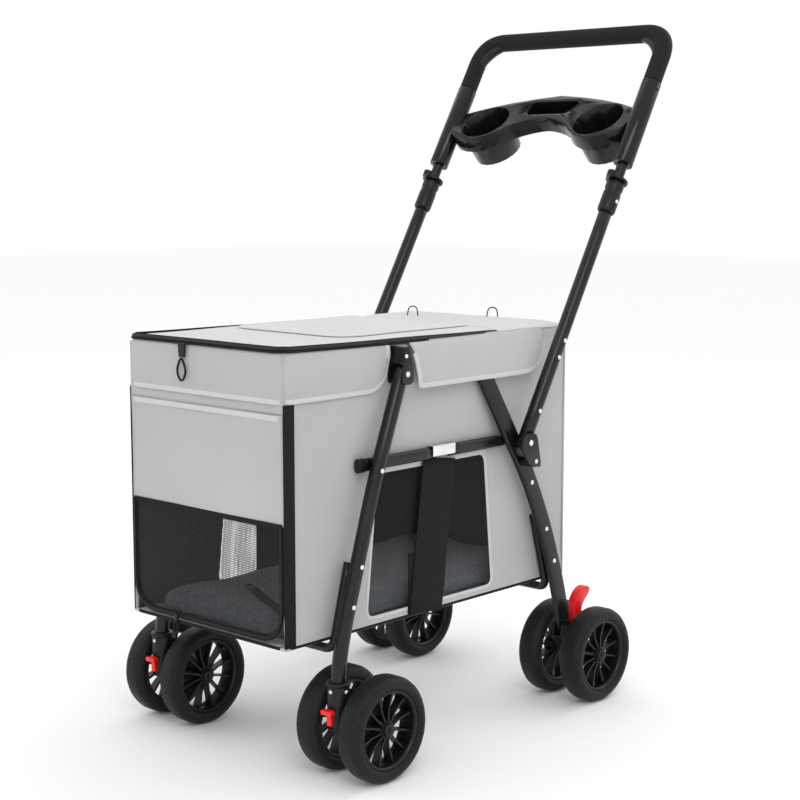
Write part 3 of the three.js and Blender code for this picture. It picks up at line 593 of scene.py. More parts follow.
def moulded(node, material, width):
    """The node's own shape with rounded edges and clean flats, riding where the node rides."""
    data = frame["nodes"][node].data.copy()
    piece = new_object(f"{node}_moulding", data)
    shell = bmesh.new()
    shell.from_mesh(data)
    bmesh.ops.remove_doubles(shell, verts=shell.verts, dist=MOULDED_WELD)
    bmesh.ops.dissolve_limit(shell, angle_limit=MOULDED_FLAT, verts=shell.verts, edges=shell.edges)
    for face in shell.faces:
        face.smooth = True
        face.material_index = 0
    shell.to_mesh(data)
    shell.free()
    data.materials.clear()
    data.materials.append(material)
    soften_edges(piece, width)
    return settle(piece, frame["nodes"][node]["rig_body"], node)


def settle(piece, body, *nodes, slot=None):
    """Rides on its body and hides the nodes that the piece stands for."""
    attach(piece, body)
    slot or SLOT_OF[piece.data.materials[0].name]
    if nodes:
        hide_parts(*nodes)
    return piece


# ---- cloth pieces ----
def cloth_grid(name, place, across, down, steps, material, keep=None, snap=None, thickness=1.2 * MM):
    """A sheet laid out by place(u, v), with the faces that keep() refuses left out."""
    columns, rows = steps
    points, vertices = [], []
    for j in range(rows + 1):
        for i in range(columns + 1):
            u = across[0] + (across[1] - across[0]) * i / columns
            v = down[0] + (down[1] - down[0]) * j / rows
            if snap:
                u, v = snap(u, v)
            points.append((u, v))
            vertices.append(place(u, v))
    faces = []
    for j in range(rows):
        for i in range(columns):
            corner = j * (columns + 1) + i
            face = (corner, corner + 1, corner + columns + 2, corner + columns + 1)
            centre = [sum(points[k][axis] for k in face) / 4 for axis in (0, 1)]
            if keep is None or keep(*centre):
                faces.append(face)
    used = sorted({k for face in faces for k in face})
    renumber = {k: n for n, k in enumerate(used)}
    faces = [tuple(renumber[k] for k in face) for face in faces]
    piece = add_mesh(name, [vertices[k] for k in used], faces, material)
    shell = piece.modifiers.new("cloth_thickness", "SOLIDIFY")
    shell.thickness = thickness
    shell.offset = 0
    return apply_modifiers(piece)


def ripple(point, scale, amount):
    return noise.noise(Vector(point) * scale) * amount


def rounded_corners(corners, reach, steps=6):
    """A closed outline of (u, v) points with round corners."""
    flat = [Vector((u, v, 0)) for u, v in corners]
    return [(point.x, point.y) for point in rounded_path(flat, reach, steps, closed=True)]


def inside(outline, u, v):
    hit = False
    for (u0, v0), (u1, v1) in zip(outline, outline[1:] + outline[:1]):
        if (v0 > v) != (v1 > v) and u < u0 + (v - v0) / (v1 - v0) * (u1 - u0):
            hit = not hit
    return hit


def nearest_on(outline, u, v):
    """The outline's nearest point to (u, v), with its distance."""
    best = (1e9, u, v)
    here = Vector((u, v))
    for start, end in zip(outline, outline[1:] + outline[:1]):
        a, b = Vector(start), Vector(end)
        along = b - a
        if along.length < NEARLY_NOTHING:
            continue
        t = max(0.0, min(1.0, (here - a).dot(along) / along.length_squared))
        spot = a + along * t
        distance = (here - spot).length
        if distance < best[0]:
            best = (distance, spot.x, spot.y)
    return best


def snapper(outline, reach):
    def snap(u, v):
        distance, near_u, near_v = nearest_on(outline, u, v)
        return (near_u, near_v) if distance < reach else (u, v)

    return snap


def sewn(name, path, width, thickness, material, facing, body="cabin", closed=False):
    """A flat band that lies along a path and rides on a body."""
    return settle(sweep(name, path, band_section(width, thickness), material, facing, closed), body)


WINDOW_LOW, WINDOW_HIGH = FLOOR + 12 * MM, FLOOR + 208 * MM
SIDE_WINDOW = [
    (BRACE_FRONT.y - 1 * MM, WINDOW_LOW), (BRACE_REAR.y - 21 * MM, WINDOW_LOW),
    (BRACE_REAR.y - 39 * MM, WINDOW_HIGH), (BRACE_FRONT.y + 21 * MM, WINDOW_HIGH)
]
WALL_TOP = TOP - 7 * MM
# the two layers of a wall: name, cloth, distance in from the outer face, thickness, upper edge
WALL_LAYERS = (
    ("wall", GREY_CLOTH, 0.0, 1.2 * MM, WALL_TOP),
    ("lining", DARK_LINING, 3.4 * MM, 0.8 * MM, TOP - 14 * MM),
)
CORNER_TAPE = 19 * MM
MESH_TOP = FLOOR + 160 * MM


def outline_area(outline):
    """The flat area inside a closed outline."""
    pairs = zip(outline, outline[1:] + outline[:1])
    return abs(sum(u0 * v1 - u1 * v0 for (u0, v0), (u1, v1) in pairs)) / 2


def side_surface(sign, inward=0.0):
    def place(y, z):
        inset = 1.2 * MM + abs(ripple((0, y, z), 9.0, 1.6 * MM))
        rim = min(1.0, (TOP - z) / (40 * MM), (z - FLOOR) / (40 * MM))
        return sign * (WALL - 0.6 * MM - inward - inset * max(0.0, rim)), y, z

    return place


def side_walls():
    """Grey outer walls with a netted window, and a dark lining behind them."""
    window = rounded_corners(SIDE_WINDOW, 16 * MM)
    opening = outline_area(window)
    for side, sign in SIDES.items():
        for layer, material, inward, thickness, top in WALL_LAYERS:
            wall = cloth_grid(
                f"side_{layer}_{side}", side_surface(sign, inward),
                (FRONT + 1 * MM + inward, REAR - 1 * MM - inward), (FLOOR + inward, top), (110, 76),
                material, keep=lambda y, z: not inside(window, y, z), snap=snapper(window, 3.2 * MM),
                thickness=thickness
            )
            nodes = (f"side_panel_{side}",) if layer == "wall" else ()
            settle(wall, "cabin", *nodes)
        reach = 4 * MM
        net = cloth_grid(
            f"side_netting_{side}",
            lambda y, z: (sign * (WALL - 1.8 * MM - abs(ripple((1, y, z), 11.0, 2 * MM))), y, z),
            (SIDE_WINDOW[0][0] - reach, SIDE_WINDOW[1][0] + reach),
            (WINDOW_LOW - reach, WINDOW_HIGH + reach), (60, 48), SIDE_NET,
            keep=lambda y, z: inside(window, y, z) or nearest_on(window, y, z)[0] < 5 * MM,
            thickness=0.3 * MM
        )
        settle(net, "cabin")
        around = sum((Vector(a) - Vector(b)).length for a, b in zip(window, window[1:] + window[:1]))
        out, place = X_AXIS * sign, side_surface(sign, -0.4 * MM)
        hem = [Vector(place(y, z)) for y, z in window]
        sewn(f"window_hem_{side}", hem, 5 * MM, 1.2 * MM, PALE_BINDING, out, closed=True)
        front, rear = SIDE_WINDOW[3][0] - 3 * MM, SIDE_WINDOW[2][0] + 3 * MM
        place = side_surface(sign, -0.6 * MM)
        header = [Vector(place(front + (rear - front) * k / 24, WINDOW_HIGH + 5 * MM)) for k in range(25)]
        sewn(f"window_top_band_{side}", header, 16 * MM, 1.2 * MM, PALE_BINDING, out)


def cabin_edges():
    """Piped seams on the upright rear corners and round the floor."""
    seam = circle_section(1.6 * MM, 10)
    for side, sign in SIDES.items():
        x, y = sign * (WALL - 1.2 * MM), REAR - 1.2 * MM
        line = straight((x, y, TOP - 8 * MM), (x, y, FLOOR + 1 * MM), 1)
        pipe = sweep(f"rear_corner_piping_{side}", line, seam, GREY_CLOTH)
        settle(pipe, "cabin")
    x, inset = WALL - 1.2 * MM, 1.2 * MM
    outline = [(-x, FRONT + inset), (x, FRONT + inset), (x, REAR - inset), (-x, REAR - inset)]
    path = rounded_path([(u, v, FLOOR + 2 * MM) for u, v in outline], 14 * MM, closed=True)
    settle(sweep("floor_piping", path, circle_section(2.2 * MM, 12), BLACK_TAPE, closed=True), "cabin")


def floor_cover():
    """The stiff floor in its cloth sleeve, with a soft bevel all round."""
    moulded("floor_board", GREY_CLOTH, 1.5 * MM)


def rear_wall():
    for layer, material, inward, thickness, top in WALL_LAYERS:
        wall = cloth_grid(
            f"rear_{layer}",
            lambda x, z: (x, REAR - 1.6 * MM - inward + ripple((x, 3, z), 8.0, 1.4 * MM), z),
            (-WALL + 1 * MM + inward, WALL - 1 * MM - inward), (FLOOR + inward, top), (60, 70), material,
            thickness=thickness
        )
        nodes = ("rear_panel",) if layer == "wall" else ()
        settle(wall, "cabin", *nodes)


# ---- front: header, door with its net, tapes and zip pulls ----
DOOR_FACE = FRONT + 0.4 * MM
DOOR_HALF = high("front_door").x


def door_fabric():
    """The door's cloth half, and the see-through half in its thin black tape."""
    bottom = low("front_door").z
    place = lambda x, z: (x, DOOR_FACE + 1.2 * MM + ripple((x, 5, z), 7.0, 1.5 * MM), z)
    upper = cloth_grid(
        "door_upper", place, (-DOOR_HALF + 2 * MM, DOOR_HALF - 2 * MM), (MESH_TOP - 4 * MM, DOOR_TOP),
        (60, 30), GREY_CLOTH
    )
    settle(upper, "door", "front_door")
    reach = 42 * MM
    tape_line = [
        (-DOOR_HALF + 5 * MM, MESH_TOP), (-DOOR_HALF + 5 * MM, bottom + 7 * MM),
        (DOOR_HALF - 5 * MM, bottom + 7 * MM), (DOOR_HALF - 5 * MM, MESH_TOP)
    ]
    bent = rounded_path([(x, DOOR_FACE, z) for x, z in tape_line], reach, 10)
    net_edge = [(point.x, point.z) for point in bent]
    net = cloth_grid(
        "door_netting", lambda x, z: (x, DOOR_FACE + 1.4 * MM + ripple((x, 9, z), 9.0, 1.6 * MM), z),
        (-DOOR_HALF + 2 * MM, DOOR_HALF - 2 * MM), (bottom + 2 * MM, MESH_TOP), (72, 40), DOOR_NET,
        keep=lambda x, z: inside(net_edge, x, z) or nearest_on(net_edge, x, z)[0] < 4 * MM,
        thickness=0.3 * MM
    )
    settle(net, "door")
    sewn("door_tape", bent, 8 * MM, 1.6 * MM, BLACK_TAPE, Y_AXIS, "door")
    coil_path = rounded_path([(x, DOOR_FACE - 1.4 * MM, z) for x, z in tape_line], reach, 10)
    coil = sweep("door_zip_coil", coil_path, oval_section(1.6 * MM, 3.6 * MM, 12), ZIP_COIL, Y_AXIS)
    settle(coil, "door")
    x, y, z = DOOR_HALF - 4 * MM, DOOR_FACE + 0.2 * MM, MESH_TOP - 1 * MM
    sewn("door_net_seam", straight((-x, y, z), (x, y, z), 24), 7 * MM, 1.4 * MM, BLACK_TAPE, Y_AXIS, "door")
    y, z = DOOR_FACE + 0.1 * MM, DOOR_TOP - 4.5 * MM
    line = straight((-146 * MM, y, z), (142 * MM, y, z), 24)
    sewn("door_seam", line, 7 * MM, 1.2 * MM, PALE_BINDING, Y_AXIS, "door")


def corner_tapes():
    """Black tape that wraps the cabin's front corners on the side walls."""
    for side, sign in SIDES.items():
        x, y = sign * (WALL - 0.2 * MM), FRONT + CORNER_TAPE / 2
        path = straight((x, y, DOOR_TOP + 13 * MM), (x, y, FLOOR + 3 * MM), 24)
        sewn(f"corner_tape_{side}", path, CORNER_TAPE, 1.4 * MM, BLACK_TAPE, X_AXIS * sign)


def front_header():
    header = cloth_grid(
        "header_panel", lambda x, z: (x, FRONT + 1.6 * MM + ripple((x, 2, z), 9.0, 0.8 * MM), z),
        (-WALL + 1 * MM, WALL - 1 * MM), (DOOR_TOP, WALL_TOP), (50, 14), GREY_CLOTH
    )
    settle(header, "cabin", "front_header")


def zip_pull(name, at, down, out, size, body):
    """A slider and the cord loop that hangs from it; size scales both."""
    side = down.cross(out).normalized()
    half, deep = 4.6 * size * MM, 13 * size * MM
    slider = rounded_corners([(-half, 0), (half, 0), (half * 0.75, deep), (-half * 0.75, deep)], 2.4 * MM)
    lower = [Vector(at) + side * u + down * v + out * 0.2 * MM for u, v in slider]
    upper = [point + out * 3.2 * MM for point in lower]
    plate = soften_edges(face_out(prism(f"{name}_slider", lower, upper, BLACK_NYLON)), 0.6 * MM)
    start = Vector(at) + down * deep * 0.8 + out * 3.0 * MM
    width, length = 7 * size * MM, 26 * size * MM
    middle = start + down * length * 0.6
    loop = [start, middle + side * width, start + down * length, middle - side * width]
    path = rounded_path(loop, 0.012, 8, closed=True)
    cord = sweep(f"{name}_cord", path, circle_section(1.5 * MM, 10), BLACK_WEBBING, out, True)
    settle(joined(name, [plate, cord]), body, slot="webbing")


def door_pull():
    at = (-57 * MM, DOOR_FACE - 2 * MM, low("front_door").z + 9 * MM)
    zip_pull("door_zip_pull", at, -Z_AXIS, -Y_AXIS, 0.75, "door")


def lid_pull():
    """The large slider that hangs over the front edge of the lid."""
    at = (-32 * MM, FRONT - 5.5 * MM, TOP - 1.5 * MM)
    zip_pull("lid_zip_pull", at, -Z_AXIS, -Y_AXIS, 1.45, "cabin")


# ---- top: lid with its zip, window patch and seams, and the fixed rear part ----
LID_CROWN = 3.5 * MM
SIDE_ROLL, END_ROLL, HINGE_REACH = 35 * MM, 45 * MM, 30 * MM
EDGE_DROP_FRONT, EDGE_DROP_REAR = -1 * MM, 5 * MM
LID_CORNER = 18 * MM


def top_surface(x, y):
    """The stretched top: crowned in the middle, falling at its edges, with a dip at the lid's hinge."""
    edge = min(1.0, (WALL - abs(x)) / SIDE_ROLL, (y - FRONT) / END_ROLL, (REAR - y) / END_ROLL)
    fall = (1 - max(0.0, edge)) ** 2
    hinge = 1 - min(1.0, abs(y - SEAM) / HINGE_REACH)
    along = min(1.0, max(0.0, (y - FRONT) / (SEAM - FRONT)))
    drop = EDGE_DROP_FRONT + (EDGE_DROP_REAR - EDGE_DROP_FRONT) * along
    wave = ripple((x, y, 4), 6.0, 1.2 * MM) * (1 - hinge)
    return x, y, TOP - (1.2 + 0.8 * hinge) * MM + LID_CROWN * (1 - fall) * (1 - hinge) - drop * fall + wave


def out_and_up(half, front, corner):
    """Which way a band rolled over the top's edge looks: outwards and up in equal parts."""
    level = flap_facing(half, front, corner)
    return lambda point: (level(point) + Z_AXIS).normalized()


def lid_cover():
    """The pale lid with a zip rolled on its edge."""
    ends = [(-WALL, SEAM), (-WALL, FRONT), (WALL, FRONT), (WALL, SEAM)]
    outline = rounded_corners(ends, [0.5 * MM, LID_CORNER, LID_CORNER, 0.5 * MM], 8)
    cover = cloth_grid(
        "lid_cover", top_surface, (-WALL, WALL), (FRONT, SEAM), (60, 82), PALE_CLOTH,
        keep=lambda x, y: inside(outline, x, y), snap=snapper(outline, 3.4 * MM), thickness=1.6 * MM
    )
    settle(cover, "lid", "lid_panel")
    outline_area(outline)
    x, y = WALL - 0.5 * MM, FRONT + 0.5 * MM
    line = [(-x, SEAM - 2 * MM, 0), (-x, y, 0), (x, y, 0), (x, SEAM - 2 * MM, 0)]
    route = [
        Vector(top_surface(point.x, point.y))
        for point in dense(rounded_path(line, LID_CORNER, 8), 12 * MM)
    ]
    facing = out_and_up(x, y, LID_CORNER)
    tape_route = [point + facing(point) * 0.9 * MM for point in route]
    sewn("lid_zip_tape", tape_route, 10 * MM, 1.4 * MM, BLACK_TAPE, facing, "lid")
    coil_route = [point + facing(point) * 2.0 * MM for point in route]
    coil = sweep("lid_zip_coil", coil_route, oval_section(2.0 * MM, 4.4 * MM, 12), ZIP_COIL, facing)
    settle(coil, "lid")


def dense(path, step):
    """The same path with no run longer than step."""
    points = [path[0]]
    for start, end in zip(path, path[1:]):
        count = max(1, math.ceil((end - start).length / step))
        points += [start.lerp(end, k / count) for k in range(1, count + 1)]
    return points


def window_patch():
    """A second layer sewn on the lid, with a rolled edge."""
    rear = SEAM - 25 * MM
    front = rear - 247 * MM
    half = 112 * MM
    outline = rounded_path(
        [(-half, rear, 0), (-half, front, 0), (half, front, 0), (half, rear, 0)],
        [4 * MM, 42 * MM, 42 * MM, 4 * MM], 10, closed=True
    )
    flat = [(point.x, point.y) for point in outline]
    patch = cloth_grid(
        "window_patch",
        lambda x, y: tuple(
            Vector(top_surface(x, y)) + Z_AXIS * (2.0 * MM + ripple((x, y, 8), 10.0, 0.7 * MM))
        ),
        (-half, half),
        (front, rear),
        (56, 62),
        PALE_CLOTH,
        keep=lambda x, y: inside(flat, x, y),
        snap=snapper(flat, 3.4 * MM),
        thickness=1.0 * MM,
    )
    settle(patch, "lid")
    outline_area(flat)
    route = dense(outline + [outline[0]], 10 * MM)[:-1]
    edge = [Vector(top_surface(point.x, point.y)) + Z_AXIS * 2.3 * MM for point in route]
    sewn("patch_edge", edge, 6 * MM, 1.5 * MM, PALE_CLOTH, Z_AXIS, "lid", True)


def rear_top():
    cover = cloth_grid(
        "rear_top_cover", top_surface, (-WALL, WALL), (SEAM + 0.4 * MM, REAR), (60, 30), PALE_CLOTH,
        thickness=1.6 * MM
    )
    settle(cover, "cabin", "rear_top_panel")
    seam = [Vector(top_surface(k * 12 * MM, SEAM + 4 * MM)) + Z_AXIS * 0.8 * MM for k in range(-12, 13)]
    settle(sweep("cross_seam", seam, circle_section(1.0 * MM, 8), PALE_CLOTH), "cabin")
    for number, (x, y) in enumerate(((-60 * MM, SEAM + 50 * MM), (45 * MM, SEAM + 112 * MM)), 1):
        foot = Vector(top_surface(x, y))
        lean = Vector((1, 0.2, 0)).normalized()
        loop = [
            foot - lean * 9 * MM, foot - lean * 6 * MM + Z_AXIS * 15 * MM,
            foot + lean * 8 * MM + Z_AXIS * 15 * MM, foot + lean * 10 * MM
        ]
        cord = sweep(
            f"toy_loop_{number}", rounded_path(loop, 9 * MM, 6), circle_section(0.9 * MM, 8),
            BLACK_WEBBING
        )
        settle(cord, "cabin")


# ---- hanging flaps ----
FLAP_TOP = TOP - 5 * MM
FLAP_BOTTOM = low("front_valance").z + 3 * MM
FLAP_CORNER = 22 * MM
FLAP_REAR = high("front_valance").y
FLAP_OUT = high("front_valance").x
FLAP_END_ROUND = 35 * MM


def quarter_round(reach):
    """How far a round corner has turned away, as reach goes from 0 to 1 along it."""
    return 1 - math.sqrt(max(0.0, 1 - max(0.0, reach) ** 2))


def front_flap():
    """One flap from the right side, round the front and back along the left side."""
    near = FLAP_OUT - 1 * MM
    y = FRONT - 2 * MM
    corners = [(near, FLAP_REAR, 0), (near, y, 0), (-near, y, 0), (-near, FLAP_REAR, 0)]
    route = dense(rounded_path(corners, FLAP_CORNER, 10), 8 * MM)
    lengths = [0.0]
    for start, end in zip(route, route[1:]):
        lengths.append(lengths[-1] + (end - start).length)
    total = lengths[-1]

    def along(u):
        i = max(k for k in range(len(lengths)) if lengths[k] <= u + NEARLY_NOTHING)
        i = min(i, len(route) - 2)
        t = (u - lengths[i]) / (lengths[i + 1] - lengths[i])
        return route[i].lerp(route[i + 1], t), (route[i + 1] - route[i]).normalized()

    def place(u, v):
        point, run = along(u)
        out = run.cross(Z_AXIS) * -1
        end = min(u, total - u)
        cut = FLAP_END_ROUND * quarter_round(1 - end / FLAP_END_ROUND)
        top = FLAP_TOP + 2 * MM
        z = top + (FLAP_BOTTOM + cut - top) * v
        puff = 3.0 * MM * math.sin(math.pi * min(1.0, v * 1.05)) + ripple(
            (u * 2, 0.3, v * 0.1), 9.0, 1.4 * MM
        ) * v
        return point + out * (puff - 1.2 * MM) + Vector((0, 0, z))

    flap = cloth_grid("front_flap", place, (0, total), (0, 1), (130, 14), GREY_CLOTH, thickness=1.6 * MM)
    settle(flap, "cabin", "front_valance")
    rows = [(0, k / 8) for k in range(1, 8)]
    rows += [(total * k / 160, 0.96) for k in range(161)]
    rows += [(total, k / 8) for k in range(7, 0, -1)]
    edge = [Vector(place(u, v)) for u, v in rows]
    facing = flap_facing(near, y, FLAP_CORNER)
    sewn("front_flap_binding", edge, 7 * MM, 2.6 * MM, PALE_BINDING, facing)


def flap_facing(half, front, corner):
    """Which way is out on a band round the front: sideways on the sides, forwards at the front."""

    def out(point):
        if point.y > front + corner:
            return X_AXIS if point.x > 0 else -X_AXIS
        if abs(point.x) < half - corner:
            return -Y_AXIS
        middle = Vector((math.copysign(half - corner, point.x), front + corner, point.z))
        return (point - middle).normalized()

    return out


def side_flaps():
    """A flap on each side that bulges over the tops of the legs, cut round at its rear corner."""
    start, end = low("side_valance_right").y, high("side_valance_right").y + 18 * MM
    bulge = high("side_valance_right").x - FLAP_OUT
    corner, cut_back = 46 * MM, 0.72
    lean_most, lean_reach = 10 * MM, 60 * MM
    roll, rear_reach = 13 * MM, 70 * MM
    for side, sign in SIDES.items():

        def place(y, v):
            depth = 1.0
            if y > end - corner:
                depth = 1 - cut_back * quarter_round((y - end + corner) / corner)
            lean = lean_most * v * max(0.0, 1 - (y - start) / lean_reach)
            down = v * depth * (FLAP_TOP - FLAP_BOTTOM)
            round_out = 1 - math.exp(-down / roll)
            wave = ripple((0.4, y, v * 0.2), 10.0, 2.2 * MM) * v
            fade = min(1.0, (end - y) / rear_reach) ** 0.7 if y < end else 0.0
            x = WALL + 0.8 * MM + (bulge + 2 * MM) * round_out * (0.35 + 0.65 * fade) + wave
            return sign * x, y + lean, FLAP_TOP + 1 * MM - down

        flap = cloth_grid(
            f"side_flap_{side}", place, (start, end), (0, 1), (70, 16), GREY_CLOTH, thickness=1.6 * MM
        )
        settle(flap, "cabin", f"side_valance_{side}")
        rows = [(start, k / 12) for k in range(3, 12)]
        rows += [(start + (end - start) * k / 70, 0.96) for k in range(0, 71)]
        edge = [Vector(place(y, v)) + X_AXIS * sign * 0.3 * MM for y, v in rows]
        sewn(f"side_flap_binding_{side}", edge, 7 * MM, 2.4 * MM, PALE_BINDING, X_AXIS * sign)


# ---- padded floor ----
def padded_floor():
    """A quilted pad: a rounded slab swollen by cloth simulation and kept inside its place."""
    bottom, top = low("mattress_pad"), high("mattress_pad")
    inset, swell = 7 * MM, 9 * MM
    tufts_across, tufts_along = 3, 6
    pressure, last_frame = 4, 20
    half_x, y0, y1 = top.x - inset, bottom.y + inset, top.y - inset
    outline = rounded_path(
        [(-half_x, y0, 0), (half_x, y0, 0), (half_x, y1, 0), (-half_x, y1, 0)], 34 * MM, 6, closed=True
    )
    z0, z1 = bottom.z + 4 * MM, top.z - 5 * MM
    lower = [Vector((point.x, point.y, z0)) for point in outline]
    upper = [Vector((point.x, point.y, z1)) for point in outline]
    pad = prism("floor_pad", lower, upper, PAD_PLUSH)
    remesh = pad.modifiers.new("remesh", "REMESH")
    remesh.mode = "VOXEL"
    remesh.voxel_size = 6 * MM
    apply_modifiers(pad)
    before = [vertex.co.copy() for vertex in pad.data.vertices]
    cloth = pad.modifiers.new("stuffing", "CLOTH")
    cloth.settings.use_pressure = True
    cloth.settings.uniform_pressure_force = pressure
    cloth.settings.effector_weights.gravity = 0
    cloth.point_cache.frame_start, cloth.point_cache.frame_end = 1, last_frame
    for step in range(1, last_frame + 1):
        bpy.context.scene.frame_set(step)
    apply_modifiers(pad)
    for vertex, start in zip(pad.data.vertices, before):
        move = vertex.co - start
        if move.length > swell:
            vertex.co = start + move.normalized() * swell
    bpy.context.scene.frame_set(1)
    for vertex in pad.data.vertices:
        x, y = vertex.co.x, vertex.co.y
        across = math.cos(x / (2 * half_x) * tufts_across * 2 * math.pi)
        tuft = across * math.cos((y - y0) / (y1 - y0) * tufts_along * 2 * math.pi)
        if vertex.co.z > (z0 + z1) / 2:
            vertex.co.z += 0.8 * MM * tuft + ripple((x, y, 2), 12.0, 2.5 * MM)
        vertex.co.z = min(max(vertex.co.z, bottom.z + 0.4 * MM), top.z + 6 * MM)
        vertex.co.x = min(max(x, bottom.x), top.x)
        vertex.co.y = min(max(y, bottom.y), top.y)
    smooth = pad.modifiers.new("smooth", "SUBSURF")
    smooth.levels = smooth.render_levels = 1
    apply_modifiers(pad)
    pad.data.polygons.foreach_set("use_smooth", [True] * len(pad.data.polygons))
    settle(pad, "cabin", "mattress_pad")


def tethers():
    """Two leash straps sewn flat on the pad at both ends, each with a plastic hook ring at its tip."""
    height, pad_front = high("mattress_pad").z + 3 * MM, low("mattress_pad").y
    for number, (start, end) in enumerate((((118, 30), (-22, 96)), ((122, 84), (6, 158))), 1):
        first = Vector((start[0] * MM, pad_front + start[1] * MM, height))
        last = Vector((end[0] * MM, pad_front + end[1] * MM, height))
        run = straight(first, last, 16)
        path = [point + Z_AXIS * (1.5 * MM + ripple(point, 14.0, 2 * MM)) for point in run]
        strap = sweep("strap", path, band_section(15 * MM, 1.6 * MM), BLACK_WEBBING, Z_AXIS)
        ahead = (last - first).normalized()
        side = ahead.cross(Z_AXIS)
        tip = path[-1]
        corners = [(-2, -6), (22, -5), (26, 0), (22, 5), (-2, 6)]
        ring = [tip + ahead * a * MM + side * b * MM for a, b in corners]
        hook = sweep(
            "hook", rounded_path(ring, 5 * MM, 5, closed=True), circle_section(1.8 * MM, 12), BLACK_NYLON,
            Z_AXIS, True
        )
        settle(joined(f"tether_{number}", [strap, hook]), "cabin")


# ---- webbing under the floor ----
WEBBING_BEND = 7 * MM


def floor_webbing():
    """The strap under the floor, its two upper ends and the band that rises from it on each side."""
    bottom, top = low("floor_strap"), high("floor_strap")
    middle = (bottom.y + top.y) / 2
    width = top.y - bottom.y + 10 * MM
    lean = 28 * MM
    foot = middle - lean / 2
    thickness = 1.8 * MM
    x = top.x - thickness / 2
    z = bottom.z + thickness / 2
    upper_z = top.z - 20 * MM
    corners = [(-x, foot, upper_z), (-x, foot, z), (x, foot, z), (x, foot, upper_z)]
    route = rounded_path(corners, WEBBING_BEND, 5)
    band = sweep(
        "floor_webbing", dense(route, 15 * MM), band_section(width, thickness), BLACK_WEBBING,
        band_side(x, z)
    )
    settle(band, "cabin", "floor_strap")
    for side, sign in SIDES.items():
        riser_low, riser_high = low(f"strap_riser_{side}"), high(f"strap_riser_{side}")
        out_x = (riser_high.x + riser_low.x) / 2
        path = []
        for k in range(21):
            t = k / 20
            height = riser_low.z + (riser_high.z - riser_low.z) * t
            sway = sign * ripple((0, 0, height), 20.0, 0.8 * MM)
            path.append(Vector((out_x + sway, foot + lean * t, height)))
        riser = sweep(
            f"webbing_riser_{side}", path, band_section(width, thickness), BLACK_WEBBING, X_AXIS * sign
        )
        settle(riser, f"strap_{side}", f"strap_riser_{side}")


def band_side(x, z):
    """Which way is out for a band that goes down one side, under the floor and up the other."""

    def out(point):
        if abs(point.x) < x - WEBBING_BEND:
            return -Z_AXIS
        if point.z > z + WEBBING_BEND:
            return X_AXIS if point.x > 0 else -X_AXIS
        corner = Vector((math.copysign(x - WEBBING_BEND, point.x), point.y, z + WEBBING_BEND))
        return (point - corner).normalized()

    return out


# ---- frame tubes ----
LEG_RADIUS = 9.75 * MM
LOOP_RADIUS = 6 * MM
LEG_ACROSS, LEG_ALONG = 10 * MM, 28 * MM
BRACE_ACROSS, BRACE_ALONG = 9 * MM, 17 * MM


def rivet(name, at, axis, radius=3.4 * MM, material=BRIGHT_RIVET):
    """A domed rivet head standing on a surface at that point."""
    profile = [
        (-0.6 * MM, 0), (-0.6 * MM, radius), (0.3 * MM, radius), (0.9 * MM, radius * 0.86),
        (1.4 * MM, radius * 0.5), (1.6 * MM, 0)
    ]
    return turned(name, at, axis, profile, material, 20)


def rivets(name, body, spots):
    """Rivet heads as one piece; spots holds (place, axis, radius)."""
    heads = [rivet("head", at, axis, radius) for at, axis, radius in spots]
    return settle(joined(name, heads), body)


def on_path(path, height):
    """The point of a path at that height."""
    for start, end in zip(path, path[1:]):
        if min(start.z, end.z) <= height <= max(start.z, end.z) and abs(start.z - end.z) > NEARLY_NOTHING:
            return start.lerp(end, (height - start.z) / (end.z - start.z))
    return path[0]


def front_legs():
    for side, sign in SIDES.items():
        top_x = (low("front_leg_right").x + LEG_RADIUS) * sign
        bend_x = (BRACE_FRONT.x + 15 * MM) * sign
        stem_x = STEM.x * sign
        corners = [
            (top_x, FRONT_PIVOT.y + 4 * MM, FRONT_PIVOT.z + 11 * MM),
            (top_x, FRONT_PIVOT.y - 4 * MM, FRONT_PIVOT.z - 12 * MM),
            (bend_x, BRACE_FRONT.y + 9 * MM, BRACE_FRONT.z + 24 * MM),
            (bend_x, BRACE_FRONT.y - 9 * MM, BRACE_FRONT.z - 24 * MM),
            (stem_x - sign * MM, STEM.y + 12 * MM, FLOOR + 18 * MM), (stem_x, STEM.y, FLOOR - 32 * MM),
            (stem_x, STEM.y, 2 * WHEEL_RADIUS - 36 * MM)
        ]
        path = dense(rounded_path(corners, 30 * MM, 8), 20 * MM)
        tube = sweep(f"front_tube_{side}", path, circle_section(LEG_RADIUS, 32), POWDER_COAT, X_AXIS)
        settle(tube, "front_frame", f"front_leg_{side}")
        out, lift = X_AXIS * sign, LEG_RADIUS - 0.4 * MM
        heights = (BRACE_FRONT.z - 6 * MM, FLOOR + 96 * MM, FLOOR + 46 * MM)
        spots = [(on_path(path, height) + out * lift, out, 3.2 * MM) for height in heights]
        rivets(f"front_leg_rivets_{side}", "front_frame", spots)


